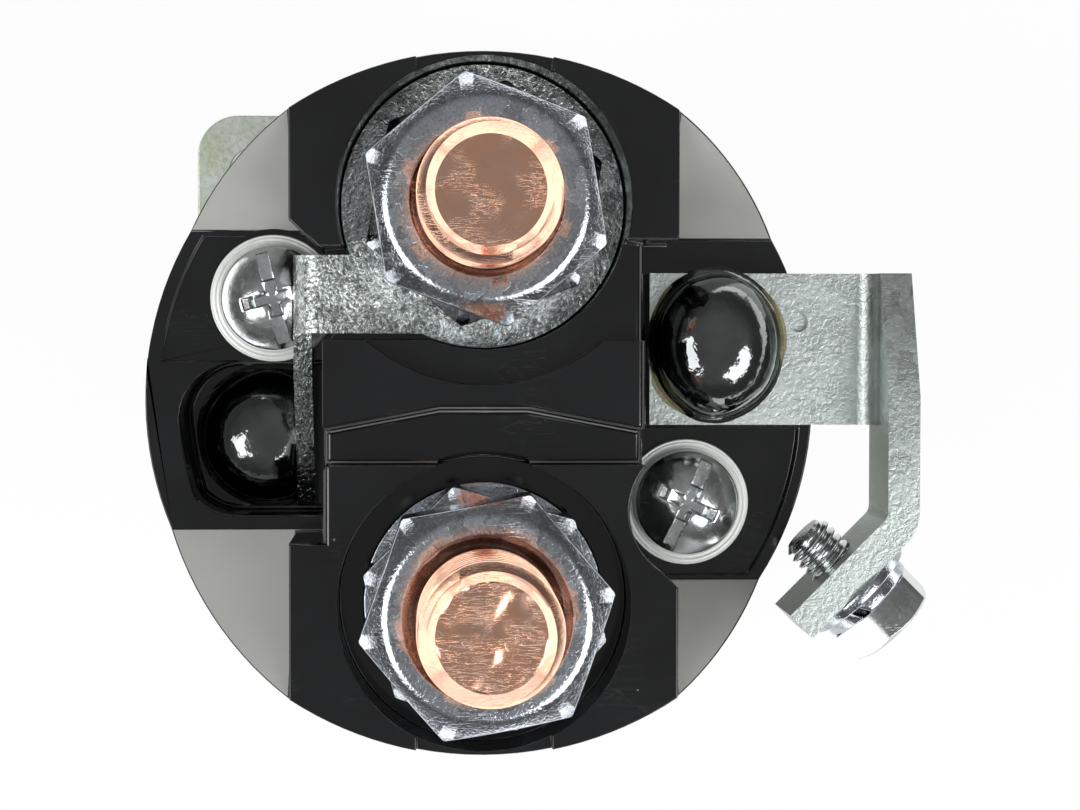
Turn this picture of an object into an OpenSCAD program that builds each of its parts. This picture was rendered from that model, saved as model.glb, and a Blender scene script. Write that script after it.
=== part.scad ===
// Starter solenoid relay, in millimetres.
// The origin is the centre of the mounting flange's front face, on the solenoid's axis.
// +Z runs along that axis towards the terminal studs, and +Y from the battery stud to the motor stud.

/* [Mounting flange] */
// Half the side of the flange's square corners
flange_half = 26.5; // [25.5:0.5:30]
// Width of the flange's edge round the can
flange_lip = 0.8; // [0.4:0.1:1.6]
// Rounding of the square corners
flange_corner_r = 4; // [1:0.5:6]
// Thickness of the flange
flange_t = 6; // [4:0.5:9]
// Distance of a tapped hole from the two sides of its corner
flange_bolt_inset = 5.64; // [5:0.02:6.5]
// Radius of a tapped hole
flange_bolt_r = 2.5; // [1.5:0.1:3]

/* [Housing] */
// Outer radius of the can
can_r = 25.2; // [24.6:0.1:25.6]
// Wall of the can
can_wall = 1.8; // [1:0.1:2.2]
// Length of the can, from the flange to the cap gasket
can_h = 39; // [37:0.5:46]
// Thickness of the core plate
core_plate_t = 5; // [4:0.5:7]
// Width of the shoulder that the core plate sits on
shoulder_w = 0.9; // [0.5:0.1:1.1]

/* [Coil] */
// Inner radius of the plunger sleeve
sleeve_r = 10.1; // [9.5:0.1:10.3]
// Wall of the plunger sleeve
sleeve_wall = 0.7; // [0.4:0.1:0.8]
// Wall of the bobbin's tube
bobbin_wall = 1.2; // [0.8:0.1:1.4]
// Thickness of a bobbin flange
bobbin_flange_t = 1.5; // [1:0.1:2.5]
// Space between the wrap and the edge of a bobbin flange
bobbin_margin = 1.4; // [0.6:0.1:2.4]
// The pull-in winding's share of the radial build of both windings
pull_in_share = 0.54; // [0.45:0.01:0.65]
// Thickness of the wrap round the windings
wrap_t = 0.5; // [0.2:0.1:0.7]

/* [Plunger] */
// Travel of the plunger
stroke = 10; // [7:0.5:10]
// Length of the plunger's body inside the sleeve at rest
plunger_in = 17; // [15:0.5:17]
// Length of the plunger's body outside the flange at rest
plunger_out = 8; // [6:0.5:12]
// Length of the slotted end
clevis_l = 14; // [13:0.5:20]
// Radius of the slotted end
clevis_r = 8; // [7:0.25:9]
// Width of the slot
slot_w = 7.2; // [5:0.2:8]
// Depth of the slot
slot_l = 12; // [11:0.5:12.5]
// Radius of the lever pin
lever_pin_r = 2; // [1.5:0.1:2.2]
// Distance of the lever pin from the plunger's end
lever_pin_inset = 4; // [3:0.25:4.5]
// Depth of the ring groove that holds the return spring
spring_groove_l = 10; // [8:0.5:12]
// Inner radius of the ring groove
spring_groove_ri = 3.6; // [3:0.1:4]
// Outer radius of the ring groove
spring_groove_ro = 8.2; // [7.6:0.1:8.4]

/* [Core and contacts] */
// Length of the stationary core's pole, below the core plate
pole_l = 12.5; // [12:0.25:12.5]
// Radius of the core's spigot in the core plate
spigot_r = 7.5; // [6.5:0.1:8]
// Radius of the contact rod
rod_r = 2; // [1.6:0.1:2.4]
// Travel of the contacts
contact_travel = 2; // [1:0.1:2]
// Gap between the bridge and the stud heads at rest
contact_gap = 2.1; // [2.1:0.1:2.6]
// Length of the contact bridge beyond each stud's axis
bridge_over = 3.2; // [2:0.1:4]
// Width of the contact bridge
bridge_w = 12; // [8:0.5:14]
// Thickness of the contact bridge
bridge_t = 2; // [1.5:0.1:2.4]
// Radius of the insulators' flanges
insulator_r = 5.5; // [5:0.1:6]
// Thickness of the insulators' flanges
insulator_t = 1.2; // [1:0.1:1.5]

/* [Terminal cap] */
// Overhang of the cap beyond the can
cap_overhang = 0.7; // [0.5:0.1:1.5]
// Height of the cap's skirt, from the gasket to the low rim
skirt_h = 12; // [11:0.5:16]
// Height of the towers above the low rim
tower_h = 11; // [8:0.5:13]
// Half the width of the waist between the towers
waist_half = 11.85; // [11.5:0.05:12.5]
// Width that the towers stand out beyond the waist on each side
tower_out = 2.45; // [2:0.05:3]
// Wall of a tower outside its stud recess
tower_wall = 0.3; // [0.2:0.05:0.6]
// Radius of the recess round each stud
recess_r = 10.8; // [10.7:0.05:11]
// Height of the motor stud's seat above the low rim
motor_seat_h = 3.4; // [3.4:0.2:5]
// Height of the battery stud's seat above the low rim
battery_seat_h = 5.4; // [2:0.2:6]
// Depth of the steps in the waist
step_d = 2.7; // [1:0.1:3.5]
// Depth of the pocket for the motor plate's solder joint
pocket_d = 7; // [6:0.5:8]
// Depth of the screw pads below the low rim
pad_d = 0.5; // [0.3:0.1:0.9]
// Height of the contact chamber
chamber_h = 11; // [10.8:0.1:11.5]
// Half the width of the contact chamber
chamber_half = 10; // [9:0.25:10.2]
// Thickness of the cap gasket
gasket_t = 1; // [0.5:0.1:2]

/* [Terminals] */
// Radius of the two studs
stud_r = 5; // [4.6:0.1:5]
// Height of the battery stud's tip above the low rim
battery_tip_h = 29.5; // [28.5:0.5:34]
// Height of the motor stud's tip above the low rim
motor_tip_h = 27; // [25:0.5:32]
// Radius of a stud head
stud_head_r = 8; // [7.5:0.1:8.2]
// Thickness of a stud head
stud_head_t = 3.5; // [3:0.1:4]
// Width across the flats of a stud nut
nut_af = 16; // [15:0.5:17]
// Thickness of a stud nut
nut_t = 5.8; // [5:0.1:6.5]
// Outer radius of the battery stud's spring washer
lock_washer_r = 9; // [8.4:0.1:9.6]
// Thickness of that spring washer
lock_washer_t = 2.5; // [1.6:0.1:3]
// Outer radius of the motor terminal plate's ring
ring_r = 10.65; // [9.5:0.05:10.65]
// Thickness of the motor terminal plate
ring_t = 1.4; // [1:0.1:1.5]
// Width of the motor terminal plate's tab
tab_w = 5.9; // [5:0.1:6.2]
// Thickness of the switch terminal bracket
bracket_t = 2.4; // [1.6:0.1:2.6]
// Width of the bracket's flat plate
plate_w = 11.65; // [10.9:0.05:12]
// Height of the bracket's upstanding wall
wall_h = 8; // [6.5:0.25:9]
// Length of the bracket's slanted leg
leg_l = 10; // [8.5:0.25:12]

/* [Fasteners] */
// Radius of a cap screw's shank
screw_r = 2; // [1.6:0.1:2.1]
// Radius of a cap screw's head
screw_head_r = 4; // [3.4:0.1:4.2]
// Height of a cap screw's head
screw_head_h = 2.6; // [2:0.1:2.7]
// Outer radius of a cap screw's washer
screw_washer_r = 4.9; // [4.2:0.1:4.9]
// Thickness of a cap screw's washer
screw_washer_t = 0.6; // [0.3:0.1:0.7]
// Width across the flats of the switch screw's head
switch_af = 7; // [6:0.5:8]
// Height of the switch screw's head
switch_head_h = 2.8; // [2:0.1:3.5]
// Length of the switch screw's thread that stands out behind the bracket
switch_thread_out = 3.1; // [2:0.1:3.2]

/* [Hidden] */

$fn = 96;

// Clearances, and the overrun of every cut
over = 1;
run_fit = 0.08;
thread_fit = 0.05;
slip = 0.2;
loose = 0.3;

// Colours
zinc = [0.74, 0.76, 0.76];
flange_zinc = [0.72, 0.74, 0.62];
copper = [0.80, 0.46, 0.32];
bakelite = [0.07, 0.07, 0.075];
steel = [0.55, 0.56, 0.58];
solder = [0.62, 0.63, 0.62];

// Levels along the axis
z_can_top = flange_t + can_h;
z_core_plate = z_can_top - core_plate_t;
z_cap = z_can_top + gasket_t;
z_low = z_cap + skirt_h;
z_tower = z_low + tower_h;
z_ceiling = z_cap + chamber_h;
z_motor_seat = z_low + motor_seat_h;
z_battery_seat = z_low + battery_seat_h;
z_step = z_tower - step_d;
z_pocket = z_low - pocket_d;
z_pad = z_low - pad_d;
z_pole = z_core_plate - pole_l;

// Radii that follow one another outwards through the coil
sleeve_or = sleeve_r + sleeve_wall;
can_ir = can_r - can_wall;
flange_round_r = can_r + flange_lip;
cap_r = can_r + cap_overhang;
seat_r = can_ir + shoulder_w;
bobbin_r = sleeve_or + slip;
bobbin_or = bobbin_r + bobbin_wall;
bobbin_flange_r = can_ir - loose;
winding_build = bobbin_flange_r - bobbin_margin - wrap_t - 3 * slip / 2 - bobbin_or;
pull_in_build = winding_build * pull_in_share;
hold_in_build = winding_build - pull_in_build;
pull_in_r = bobbin_or + slip / 2;
hold_in_r = pull_in_r + pull_in_build + slip / 2;
wrap_r = hold_in_r + hold_in_build + slip / 2;
z_coil_0 = flange_t + bobbin_flange_t + slip / 2;
z_coil_1 = z_core_plate - slip - bobbin_flange_t - slip / 2;

// Stud places
stud_y = cap_r - tower_wall - recess_r;
bridge_l = 2 * (stud_y + bridge_over);
motor_at = [0, stud_y];
battery_at = [0, -stud_y];

// Cap screws: places, the sunk round their washers, and their holes
screw_inset = 8.06;
screw_turn = -26.3;
screw_at = (cap_r - screw_inset) * [cos(screw_turn), sin(screw_turn)];
screw_places = [screw_at, -screw_at];
scallop_gap = 0.4;
scallop_r = screw_washer_r + scallop_gap;
screw_hole_r = screw_r + loose;
z_screw_head = z_pad + screw_washer_t;
screw_end_in = slip;

// Cap screws' heads: straight side, and the arms and the turn of each cross recess
pan_side_share = 0.4;
recess_half = 2.4;
recess_w = 0.9;
recess_turns = [65, 14];

// Tower corners, measured from the axis
tower_half = waist_half + tower_out;
upper_step_y = 12.1;
lower_step_y = -10.1;
corner_cut_y = 13.5;
corner_cut_end_y = 11.1;
ramp_head_inset = 4;
ramp_head_y = cap_r - ramp_head_inset;
// Runs of the four ramps: upper left, upper right, lower left, lower right
ramp_runs = [9.2, 9.8, 12.5, 8.3];
ramp_feet = [for (run = ramp_runs) ramp_head_y - run];

// Waist: the tab's slot, the step opposite it, and the groove between the towers
slot_y0 = 4.7;
slot_y1 = 11.6;
ledge_r = 13.4;
ledge_half = 8.7;
groove_side_y = -2.2;
groove_mid_y = -0.4;
groove_mid_half = 3.3;
groove_low_y = -4.5;
notch_half = 5;
notch_d = 0.8;

// Pocket for the motor plate's solder joint
pocket_y0 = -8.9;
pocket_y1 = 3;
pocket_wall = 2.6;
pocket_corner_r = 4.5;

// Chamber
chamber_wall = 2.3;
chamber_r = cap_r - chamber_wall;
spring_pocket_r = insulator_r - loose;
spring_pocket_h = 4;

// Studs: inside the nuts and the cap the shank is drawn at the thread's mean radius
stud_relief = 0.4;
stud_shank_r = stud_r - stud_relief;
stud_tip_share = 0.75;
stud_tip_r = stud_r * stud_tip_share;
stud_chamfer_h = stud_r - stud_tip_r;
stud_hole_r = stud_r + slip;
seal_r = 6.5;
seal_t = 1.4;

// Nuts: the turn of each hexagon about its stud, and the countersink at each mouth
z_motor_nut = z_motor_seat + ring_t;
z_battery_nut = z_battery_seat + lock_washer_t;
motor_nut_turns = [19.5, 39.6];
battery_nut_turns = [44.7, 10.6];
nut_mouth_w = 0.55;
nut_wide_mouth_w = 1;
nut_face_share = 0.94;
nut_chamfer_angle = 30;

// Motor terminal plate: the tab, its bend and the strip that hangs from it
tab_y0 = 5.2;
tab_y1 = tab_y0 + tab_w;
strip_gap = 0.05;
strip_x = -tower_half - strip_gap;
tab_bend_r = 0.5;
strip_y0 = -8.4;
strip_end_drop = 4;
strip_knee_y = 2;
strip_knee_drop = 0.8;
strip_neck_y = 2.7;
strip_heel_y = 4.1;
strip_heel_drop = 1;
strip_slant_y = 7;
z_strip_neck = z_screw_head + 2 * slip;
z_strip_foot = z_pocket + slip;
lip_w = 1;
ring_hole_r = stud_r + slip;

// Solder joints and the leads in them
lead_r = 0.7;
motor_joint_r = 5.2;
motor_joint_gap = 1.35;
motor_joint_at = [motor_joint_r + motor_joint_gap + pocket_wall - cap_r, (pocket_y0 + pocket_y1) / 2];
motor_joint_h = 6.6;
switch_joint_r = 4.7;
switch_joint_stretch = 0.7;
switch_joint_at = [18, 4.35];
switch_joint_h = 4.4;

// Switch terminal bracket
plate_gap = 1.05;
plate_x0 = waist_half + plate_gap;
plate_y0 = -1.8;
wall_x = 30.4;
wall_bend_r = 1.6;
wall_y0 = -8.15;
leg_bend_r = 1;
leg_turn = 45;
leg_bend_step = 9;
wall_slope_y = 0.5;
wall_slope_drop = 3.6;
dimple_r = 0.75;
dimple_d = 0.5;
dimple_at = [24.4, 6.1];
switch_hole_along = 4.8;
switch_r = 2;
plain_washer_r = 4.5;
plain_washer_t = 0.8;
spring_washer_r = 3.8;
spring_washer_t = 1;
washer_slit_w = 0.6;
lock_washer_slit_turn = 250;
spring_washer_slit_turn = 200;

// Plunger and rod
plunger_r = sleeve_r - run_fit;
clevis_flat_d = 0.5;
pin_half = clevis_r - clevis_flat_d;
z_clevis = -plunger_out;
z_plunger_end = z_clevis - clevis_l;
z_pin = z_plunger_end + lever_pin_inset;
z_plunger_top = plunger_in;
z_groove = z_plunger_top - spring_groove_l;
z_bridge_top = z_ceiling - stud_head_t - contact_gap;
z_bridge = z_bridge_top - bridge_t;
z_rod_0 = z_plunger_top + stroke - contact_travel + slip;
collar_t = 0.8;
collar_r = 4.2;
counterbore_web = 0.5;
z_counterbore = z_core_plate + counterbore_web;
counterbore_r = 5.2;
z_collar = z_counterbore + slip;
clip_t = 0.6;
clip_r = 3.4;
z_clip = z_bridge_top + insulator_t;
rod_tip_l = 0.8;
z_rod_1 = z_clip + clip_t + rod_tip_l;
neck_wall = 1;
neck_r = rod_r + neck_wall;

// Springs: mean radius, wire and turns of each
return_spring = [5.9, 0.65, 7];
contact_spring_form = [3.15, 0.45, 4];
contact_return_form = [4.45, 0.4, 4];
coil_rings = 8;
coil_sides = 6;

// Shapes that repeat

module tube(ro, ri, h, z = 0) {
    translate([0, 0, z]) difference() {
        cylinder(r = ro, h = h);
        translate([0, 0, -over]) cylinder(r = ri, h = h + 2 * over);
    }
}

module bore(r, z0, z1, at = [0, 0]) {
    translate([at[0], at[1], z0]) cylinder(r = r, h = z1 - z0);
}

module block(low, high) {
    translate(low) cube(high - low);
}

// A helix from z0 to z1, as one unbroken tube with flat ends
function helix_ring(form, z0, z1, i, n) =
    let (a = 360 * i / coil_rings, r = form[0], w = form[1],
        zc = z0 + w + (z1 - z0 - 2 * w) * i / n)
    [for (j = [0:coil_sides - 1]) let (b = 360 * j / coil_sides)
        [(r + w * cos(b)) * cos(a), (r + w * cos(b)) * sin(a), zc + w * sin(b)]];

module coil(form, z0, z1) {
    n = form[2] * coil_rings;
    points = [for (i = [0:n]) each helix_ring(form, z0, z1, i, n)];
    sides = [for (i = [0:n - 1]) for (j = [0:coil_sides - 1])
        let (p = i * coil_sides + j, q = i * coil_sides + (j + 1) % coil_sides)
        each [[p, p + coil_sides, q + coil_sides], [p, q + coil_sides, q]]];
    first = [for (j = [1:coil_sides - 2]) [0, j, j + 1]];
    last = [for (j = [1:coil_sides - 2])
        [n * coil_sides, n * coil_sides + j + 1, n * coil_sides + j]];
    polyhedron(points, concat(sides, first, last));
    echo(coil_gap = (z1 - z0 - 2 * form[1]) / form[2] - 2 * form[1]);
}

// Hexagon with its corners chamfered on one or both faces
module hexagon(af, h, turn, both = true) {
    rc = af / 2 / cos(30);
    rf = af / 2 * nut_face_share;
    wide = rc + over;
    drop = (wide - rf) * tan(nut_chamfer_angle);
    intersection() {
        rotate(turn) cylinder(r = rc, h = h, $fn = 6);
        rotate_extrude() polygon([[0, 0], [both ? rf : wide, 0], each both ? [[wide, drop]] : [],
            [wide, h - drop], [rf, h], [0, h]]);
    }
}

module nut(turn, mouth_w) {
    difference() {
        hexagon(nut_af, nut_t, turn);
        translate([0, 0, -over]) cylinder(r = stud_r + thread_fit, h = nut_t + 2 * over);
        translate([0, 0, nut_t - mouth_w])
            cylinder(r1 = stud_r, r2 = stud_r + mouth_w + over, h = mouth_w + over);
    }
}

// Washer cut through once on the slant, as a spring washer is
module split_washer(ro, ri, t, turn) {
    difference() {
        tube(ro, ri, t);
        rotate(turn) translate([(ro + ri) / 2, 0, t / 2]) rotate([30, 0, 0])
            cube([ro, washer_slit_w, 2 * t + over], center = true);
    }
}

// Coil and housing

module flange_outline() {
    inner = flange_half - flange_corner_r;
    circle(r = flange_round_r);
    for (turn = [90, 270]) rotate(turn) {
        square([flange_half, inner]);
        square([inner, flange_half]);
        translate([inner, inner]) circle(r = flange_corner_r);
    }
}

module mounting_flange() {
    color(flange_zinc) difference() {
        linear_extrude(flange_t) flange_outline();
        bore(sleeve_or + slip, -over, flange_t + over);
        for (side = [-1, 1])
            bore(flange_bolt_r, -over, flange_t + over, side * (flange_half - flange_bolt_inset) * [-1, 1]);
    }
}

module housing_can() {
    color(flange_zinc) difference() {
        bore(can_r, flange_t, z_can_top);
        bore(can_ir, flange_t - over, z_can_top + over);
        bore(seat_r, z_core_plate, z_can_top + over);
    }
}

module plunger_sleeve() {
    color([0.78, 0.66, 0.36]) tube(sleeve_or, sleeve_r, z_core_plate);
}

module coil_bobbin() {
    z1 = z_core_plate - slip;
    color([0.35, 0.30, 0.24]) difference() {
        union() {
            bore(bobbin_or, flange_t, z1);
            bore(bobbin_flange_r, flange_t, flange_t + bobbin_flange_t);
            bore(bobbin_flange_r, z1 - bobbin_flange_t, z1);
        }
        bore(bobbin_r, flange_t - over, z1 + over);
        for (at = [motor_joint_at, switch_joint_at])
            bore(lead_r + slip, z1 - bobbin_flange_t - over / 2, z1 + over, at);
    }
}

module pull_in_winding() {
    color([0.62, 0.27, 0.16]) tube(pull_in_r + pull_in_build, pull_in_r, z_coil_1 - z_coil_0, z_coil_0);
}

module hold_in_winding() {
    color([0.70, 0.34, 0.18]) tube(hold_in_r + hold_in_build, hold_in_r, z_coil_1 - z_coil_0, z_coil_0);
}

module winding_wrap() {
    color([0.85, 0.80, 0.62]) tube(wrap_r + wrap_t, wrap_r, z_coil_1 - z_coil_0, z_coil_0);
}

module stationary_core() {
    color(steel) difference() {
        union() {
            bore(sleeve_r - slip / 2, z_pole, z_core_plate);
            bore(spigot_r, z_core_plate, z_can_top);
        }
        bore(rod_r + run_fit, z_pole - over, z_can_top + over);
        bore(counterbore_r, z_counterbore, z_can_top + over);
    }
}

module core_plate() {
    color(steel) difference() {
        bore(seat_r - slip / 2, z_core_plate, z_can_top);
        bore(spigot_r + thread_fit, z_core_plate - over, z_can_top + over);
        for (at = screw_places) bore(screw_r + thread_fit, z_core_plate - over, z_can_top + over, at);
        for (at = [motor_joint_at, switch_joint_at])
            bore(lead_r + 2 * loose, z_core_plate - over, z_can_top + over, at);
    }
}

module cap_gasket() {
    color([0.16, 0.14, 0.13]) tube(can_r + slip, chamber_r + slip / 2, gasket_t, z_can_top);
}

// Terminal cap

module tower_outline() {
    far = cap_r + over;
    polygon([[-tower_half, far], [-tower_half, corner_cut_y], [-waist_half, corner_cut_end_y],
        [-waist_half, lower_step_y], [-tower_half, lower_step_y], [-tower_half, -far],
        [tower_half, -far], [tower_half, -corner_cut_y], [waist_half, -corner_cut_end_y],
        [waist_half, upper_step_y], [tower_half, upper_step_y], [tower_half, far]]);
}

// One ramp, on the side of the axis that sx gives and towards the stud that sy gives
module ramp(sx, sy, foot) {
    intersection() {
        bore(cap_r, z_low - over, z_tower);
        translate([sx > 0 ? 0 : -cap_r, 0, z_low]) rotate([90, 0, 90]) linear_extrude(cap_r)
            polygon([for (p = [[foot, -pad_d], [ramp_head_y, tower_h], [cap_r, tower_h],
                [cap_r, -pad_d]]) [sy * p[0], p[1]]]);
    }
}

module pocket_outline() {
    x0 = -cap_r + pocket_wall;
    c = pocket_corner_r;
    intersection() {
        circle(r = cap_r - pocket_wall);
        union() {
            translate([x0, pocket_y0 + c]) square([-waist_half - x0, pocket_y1 - pocket_y0 - 2 * c]);
            translate([x0 + c, pocket_y0]) square([-waist_half - x0 - c, pocket_y1 - pocket_y0]);
            for (y = [pocket_y0 + c, pocket_y1 - c]) translate([x0 + c, y]) circle(r = c);
        }
    }
}

module terminal_cap() {
    color(bakelite) difference() {
        union() {
            // Skirt, with the screw pads sunk inside its rim
            difference() {
                bore(cap_r, z_cap, z_low);
                intersection() {
                    bore(cap_r - lip_w, z_pad, z_low + over);
                    union() {
                        block([-cap_r, pocket_y1, z_pad], [0, ramp_feet[0], z_low + over]);
                        block([0, -ramp_feet[3], z_pad], [cap_r, plate_y0 - loose, z_low + over]);
                    }
                }
            }
            intersection() {
                bore(cap_r, z_cap, z_tower);
                translate([0, 0, z_ceiling]) linear_extrude(z_tower - z_ceiling) tower_outline();
            }
            ramp(-1, 1, ramp_feet[0]);
            ramp(1, 1, ramp_feet[1]);
            ramp(-1, -1, ramp_feet[2]);
            ramp(1, -1, ramp_feet[3]);
        }
        // Chamber of the moving contact, and the pocket of its return spring
        intersection() {
            bore(chamber_r, z_cap - over, z_ceiling);
            block([-chamber_half, -cap_r, z_cap - over], [chamber_half, cap_r, z_ceiling]);
        }
        bore(spring_pocket_r, z_ceiling - over, z_ceiling + spring_pocket_h);
        // Stud recesses and holes
        bore(recess_r, z_motor_seat, z_tower + over, motor_at);
        bore(recess_r, z_battery_seat, z_tower + over, battery_at);
        for (at = [motor_at, battery_at]) {
            bore(stud_hole_r, z_ceiling - over, z_tower, at);
            bore(seal_r + slip / 2, z_ceiling - over, z_ceiling + seal_t + slip / 2, at);
        }
        // Slot for the tab, and the step opposite it
        block([-waist_half - over, slot_y0, z_motor_seat], [0, slot_y1, z_tower + over]);
        block([0, slot_y0, z_step], [waist_half + over, upper_step_y, z_tower + over]);
        intersection() {
            bore(ledge_r, z_step, z_tower + over, motor_at);
            block([-ledge_half, 0, z_step], [ledge_half, stud_y, z_tower + over]);
        }
        // Groove between the towers
        translate([0, 0, z_step]) linear_extrude(step_d + over)
            polygon([[-waist_half - over, groove_side_y], [-groove_mid_half, groove_mid_y],
                [groove_mid_half, groove_mid_y], [waist_half + over, groove_side_y],
                [waist_half + over, groove_low_y], [-waist_half - over, groove_low_y]]);
        for (y = [-cap_r - over, stud_y]) block([-notch_half, y, z_tower - notch_d],
            [notch_half, y + cap_r + over - stud_y, z_tower + over]);
        // Pocket on the left
        translate([0, 0, z_pocket]) linear_extrude(tower_h + pocket_d) pocket_outline();
        // Cap screws
        for (at = screw_places) {
            bore(screw_hole_r, z_cap - over, z_tower, at);
            bore(scallop_r, z_pad, z_tower + over, at);
        }
        // Ways of the two leads
        bore(lead_r + slip, z_cap - over, z_low, motor_joint_at);
        bore(lead_r + slip, z_cap - over, z_low + over, switch_joint_at);
    }
}

module cap_screws() {
    color(zinc) for (i = [0, 1]) translate([screw_places[i][0], screw_places[i][1], 0]) {
        bore(screw_r, z_core_plate + screw_end_in, z_screw_head + over / 2);
        translate([0, 0, z_screw_head]) rotate(recess_turns[i]) difference() {
            pan_head();
            block([-recess_half, -recess_w / 2, screw_head_h / 2], [recess_half, recess_w / 2, screw_head_h]);
            block([-recess_w / 2, -recess_half, screw_head_h / 2], [recess_w / 2, recess_half, screw_head_h]);
        }
    }
}

// Pan head: a short straight side under an arc
module pan_head() {
    side = screw_head_h * pan_side_share;
    rise = screw_head_h - side;
    arc_r = (pow(screw_head_r, 2) + pow(rise, 2)) / 2 / rise;
    rotate_extrude() intersection() {
        translate([0, screw_head_h - arc_r]) circle(r = arc_r);
        square([screw_head_r, screw_head_h]);
    }
}

module cap_screw_washers() {
    color(zinc) for (at = screw_places) translate([at[0], at[1], 0])
        tube(screw_washer_r, screw_r + slip, screw_washer_t, z_pad);
}

// Terminals

module stud(at, z_nuts, tip_h) {
    color(copper) translate([at[0], at[1], 0]) {
        z_tip = z_low + tip_h;
        bore(stud_head_r, z_ceiling - stud_head_t, z_ceiling);
        bore(stud_shank_r, z_ceiling - over, z_tip - stud_chamfer_h);
        bore(stud_r, z_nuts + 2 * nut_t + slip, z_tip - stud_chamfer_h);
        translate([0, 0, z_tip - stud_chamfer_h])
            cylinder(r1 = stud_r, r2 = stud_tip_r, h = stud_chamfer_h);
    }
}

module battery_stud() { stud(battery_at, z_battery_nut, battery_tip_h); }

module motor_stud() { stud(motor_at, z_motor_nut, motor_tip_h); }

module stud_seals() {
    color([0.12, 0.12, 0.12]) for (at = [motor_at, battery_at]) translate([at[0], at[1], 0])
        tube(seal_r, stud_r + slip / 2, seal_t, z_ceiling);
}

module battery_lock_washer() {
    color(zinc) translate([battery_at[0], battery_at[1], z_battery_seat])
        split_washer(lock_washer_r, stud_r + slip, lock_washer_t, lock_washer_slit_turn);
}

module battery_nuts() {
    mouths = [nut_mouth_w, nut_wide_mouth_w];
    color(zinc) for (i = [0, 1]) translate([battery_at[0], battery_at[1], z_battery_nut + i * nut_t])
        nut(battery_nut_turns[i], mouths[i]);
}

module motor_nuts() {
    color(zinc) for (i = [0, 1]) translate([motor_at[0], motor_at[1], z_motor_nut + i * nut_t])
        nut(motor_nut_turns[i], nut_mouth_w);
}

module motor_terminal_plate() {
    x_bend = strip_x + tab_bend_r + ring_t;
    z_bend = z_motor_seat - tab_bend_r;
    bend_ro = tab_bend_r + ring_t;
    z_knee = z_motor_seat - strip_knee_drop;
    color(zinc) difference() {
        union() {
            bore(ring_r, z_motor_seat, z_motor_nut, motor_at);
            block([x_bend, tab_y0, z_motor_seat], [0, tab_y1, z_motor_nut]);
            translate([x_bend, tab_y1, z_bend]) rotate([90, 0, 0]) linear_extrude(tab_w)
                intersection() {
                    difference() {
                        circle(r = bend_ro);
                        circle(r = tab_bend_r);
                    }
                    translate([-bend_ro, 0]) square(bend_ro);
                }
            translate([strip_x, 0, 0]) rotate([90, 0, 90]) linear_extrude(ring_t)
                polygon([[tab_y1, z_bend], [strip_slant_y, z_bend - slip],
                    [strip_heel_y, z_bend - strip_heel_drop], [strip_heel_y, z_strip_neck],
                    [strip_neck_y, z_strip_neck], [strip_neck_y, z_strip_foot], [strip_y0, z_strip_foot],
                    [strip_y0, z_low - strip_end_drop], [strip_knee_y, z_knee],
                    [tab_y0, z_motor_seat], [tab_y0, z_bend]]);
        }
        bore(ring_hole_r, z_motor_seat - over, z_motor_nut + over, motor_at);
    }
}

// Carries its children to the switch screw's place: z runs out of the leg, from its inner face
module on_leg() {
    translate([wall_x - leg_bend_r, wall_y0, z_low + wall_h / 2]) rotate([0, 0, -leg_turn])
        translate([leg_bend_r, -switch_hole_along, 0]) rotate([0, 90, 0]) children();
}

function on_bend(r, a) = [r * cos(a), -r * sin(a)];

module switch_terminal_bracket() {
    x_bend = wall_x - wall_bend_r;
    y_end = plate_y0 + plate_w;
    wall_ro = wall_bend_r + bracket_t;
    leg_way = [sin(leg_turn), cos(leg_turn)];
    color(zinc) difference() {
        union() {
            // Flat plate, bend and wall
            translate([0, y_end, z_low]) rotate([90, 0, 0]) linear_extrude(plate_w) {
                translate([plate_x0, 0]) square([x_bend - plate_x0, bracket_t]);
                translate([x_bend, wall_ro]) intersection() {
                    difference() {
                        circle(r = wall_ro);
                        circle(r = wall_bend_r);
                    }
                    translate([0, -wall_ro]) square(wall_ro);
                }
                translate([wall_x, wall_ro]) square([bracket_t, wall_h - wall_ro]);
            }
            // Wall beyond the plate, bend and slanted leg
            translate([wall_x - leg_bend_r, wall_y0, z_low]) linear_extrude(wall_h)
                polygon(concat([[leg_bend_r + bracket_t, plate_y0 - wall_y0]],
                    [for (a = [0:leg_bend_step:leg_turn]) on_bend(leg_bend_r + bracket_t, a)],
                    [on_bend(leg_bend_r + bracket_t, leg_turn) - leg_l * leg_way,
                        on_bend(leg_bend_r, leg_turn) - leg_l * leg_way],
                    [for (a = [leg_turn:-leg_bend_step:0]) on_bend(leg_bend_r, a)],
                    [[leg_bend_r, plate_y0 - wall_y0]]));
        }
        // Slope on the wall's top
        translate([wall_x - over, 0, z_low]) rotate([90, 0, 90]) linear_extrude(bracket_t + 2 * over)
            polygon([[wall_slope_y, wall_h], [y_end, wall_h - wall_slope_drop],
                [y_end + over, wall_h - wall_slope_drop], [y_end + over, wall_h + over],
                [wall_slope_y, wall_h + over]]);
        bore(dimple_r, z_low + bracket_t - dimple_d, z_low + bracket_t + over, dimple_at);
        bore(lead_r + slip, z_low - over, z_low + bracket_t + over, switch_joint_at);
        on_leg() bore(switch_r + thread_fit, -over, bracket_t + over);
    }
}

module switch_screw() {
    z_head = bracket_t + plain_washer_t + spring_washer_t;
    color(zinc) on_leg() {
        bore(switch_r, -switch_thread_out, z_head + over / 2);
        translate([0, 0, z_head]) hexagon(switch_af, switch_head_h, 12, false);
    }
}

module switch_spring_washer() {
    color(zinc) on_leg() translate([0, 0, bracket_t + plain_washer_t])
        split_washer(spring_washer_r, switch_r + slip, spring_washer_t, spring_washer_slit_turn);
}

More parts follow.
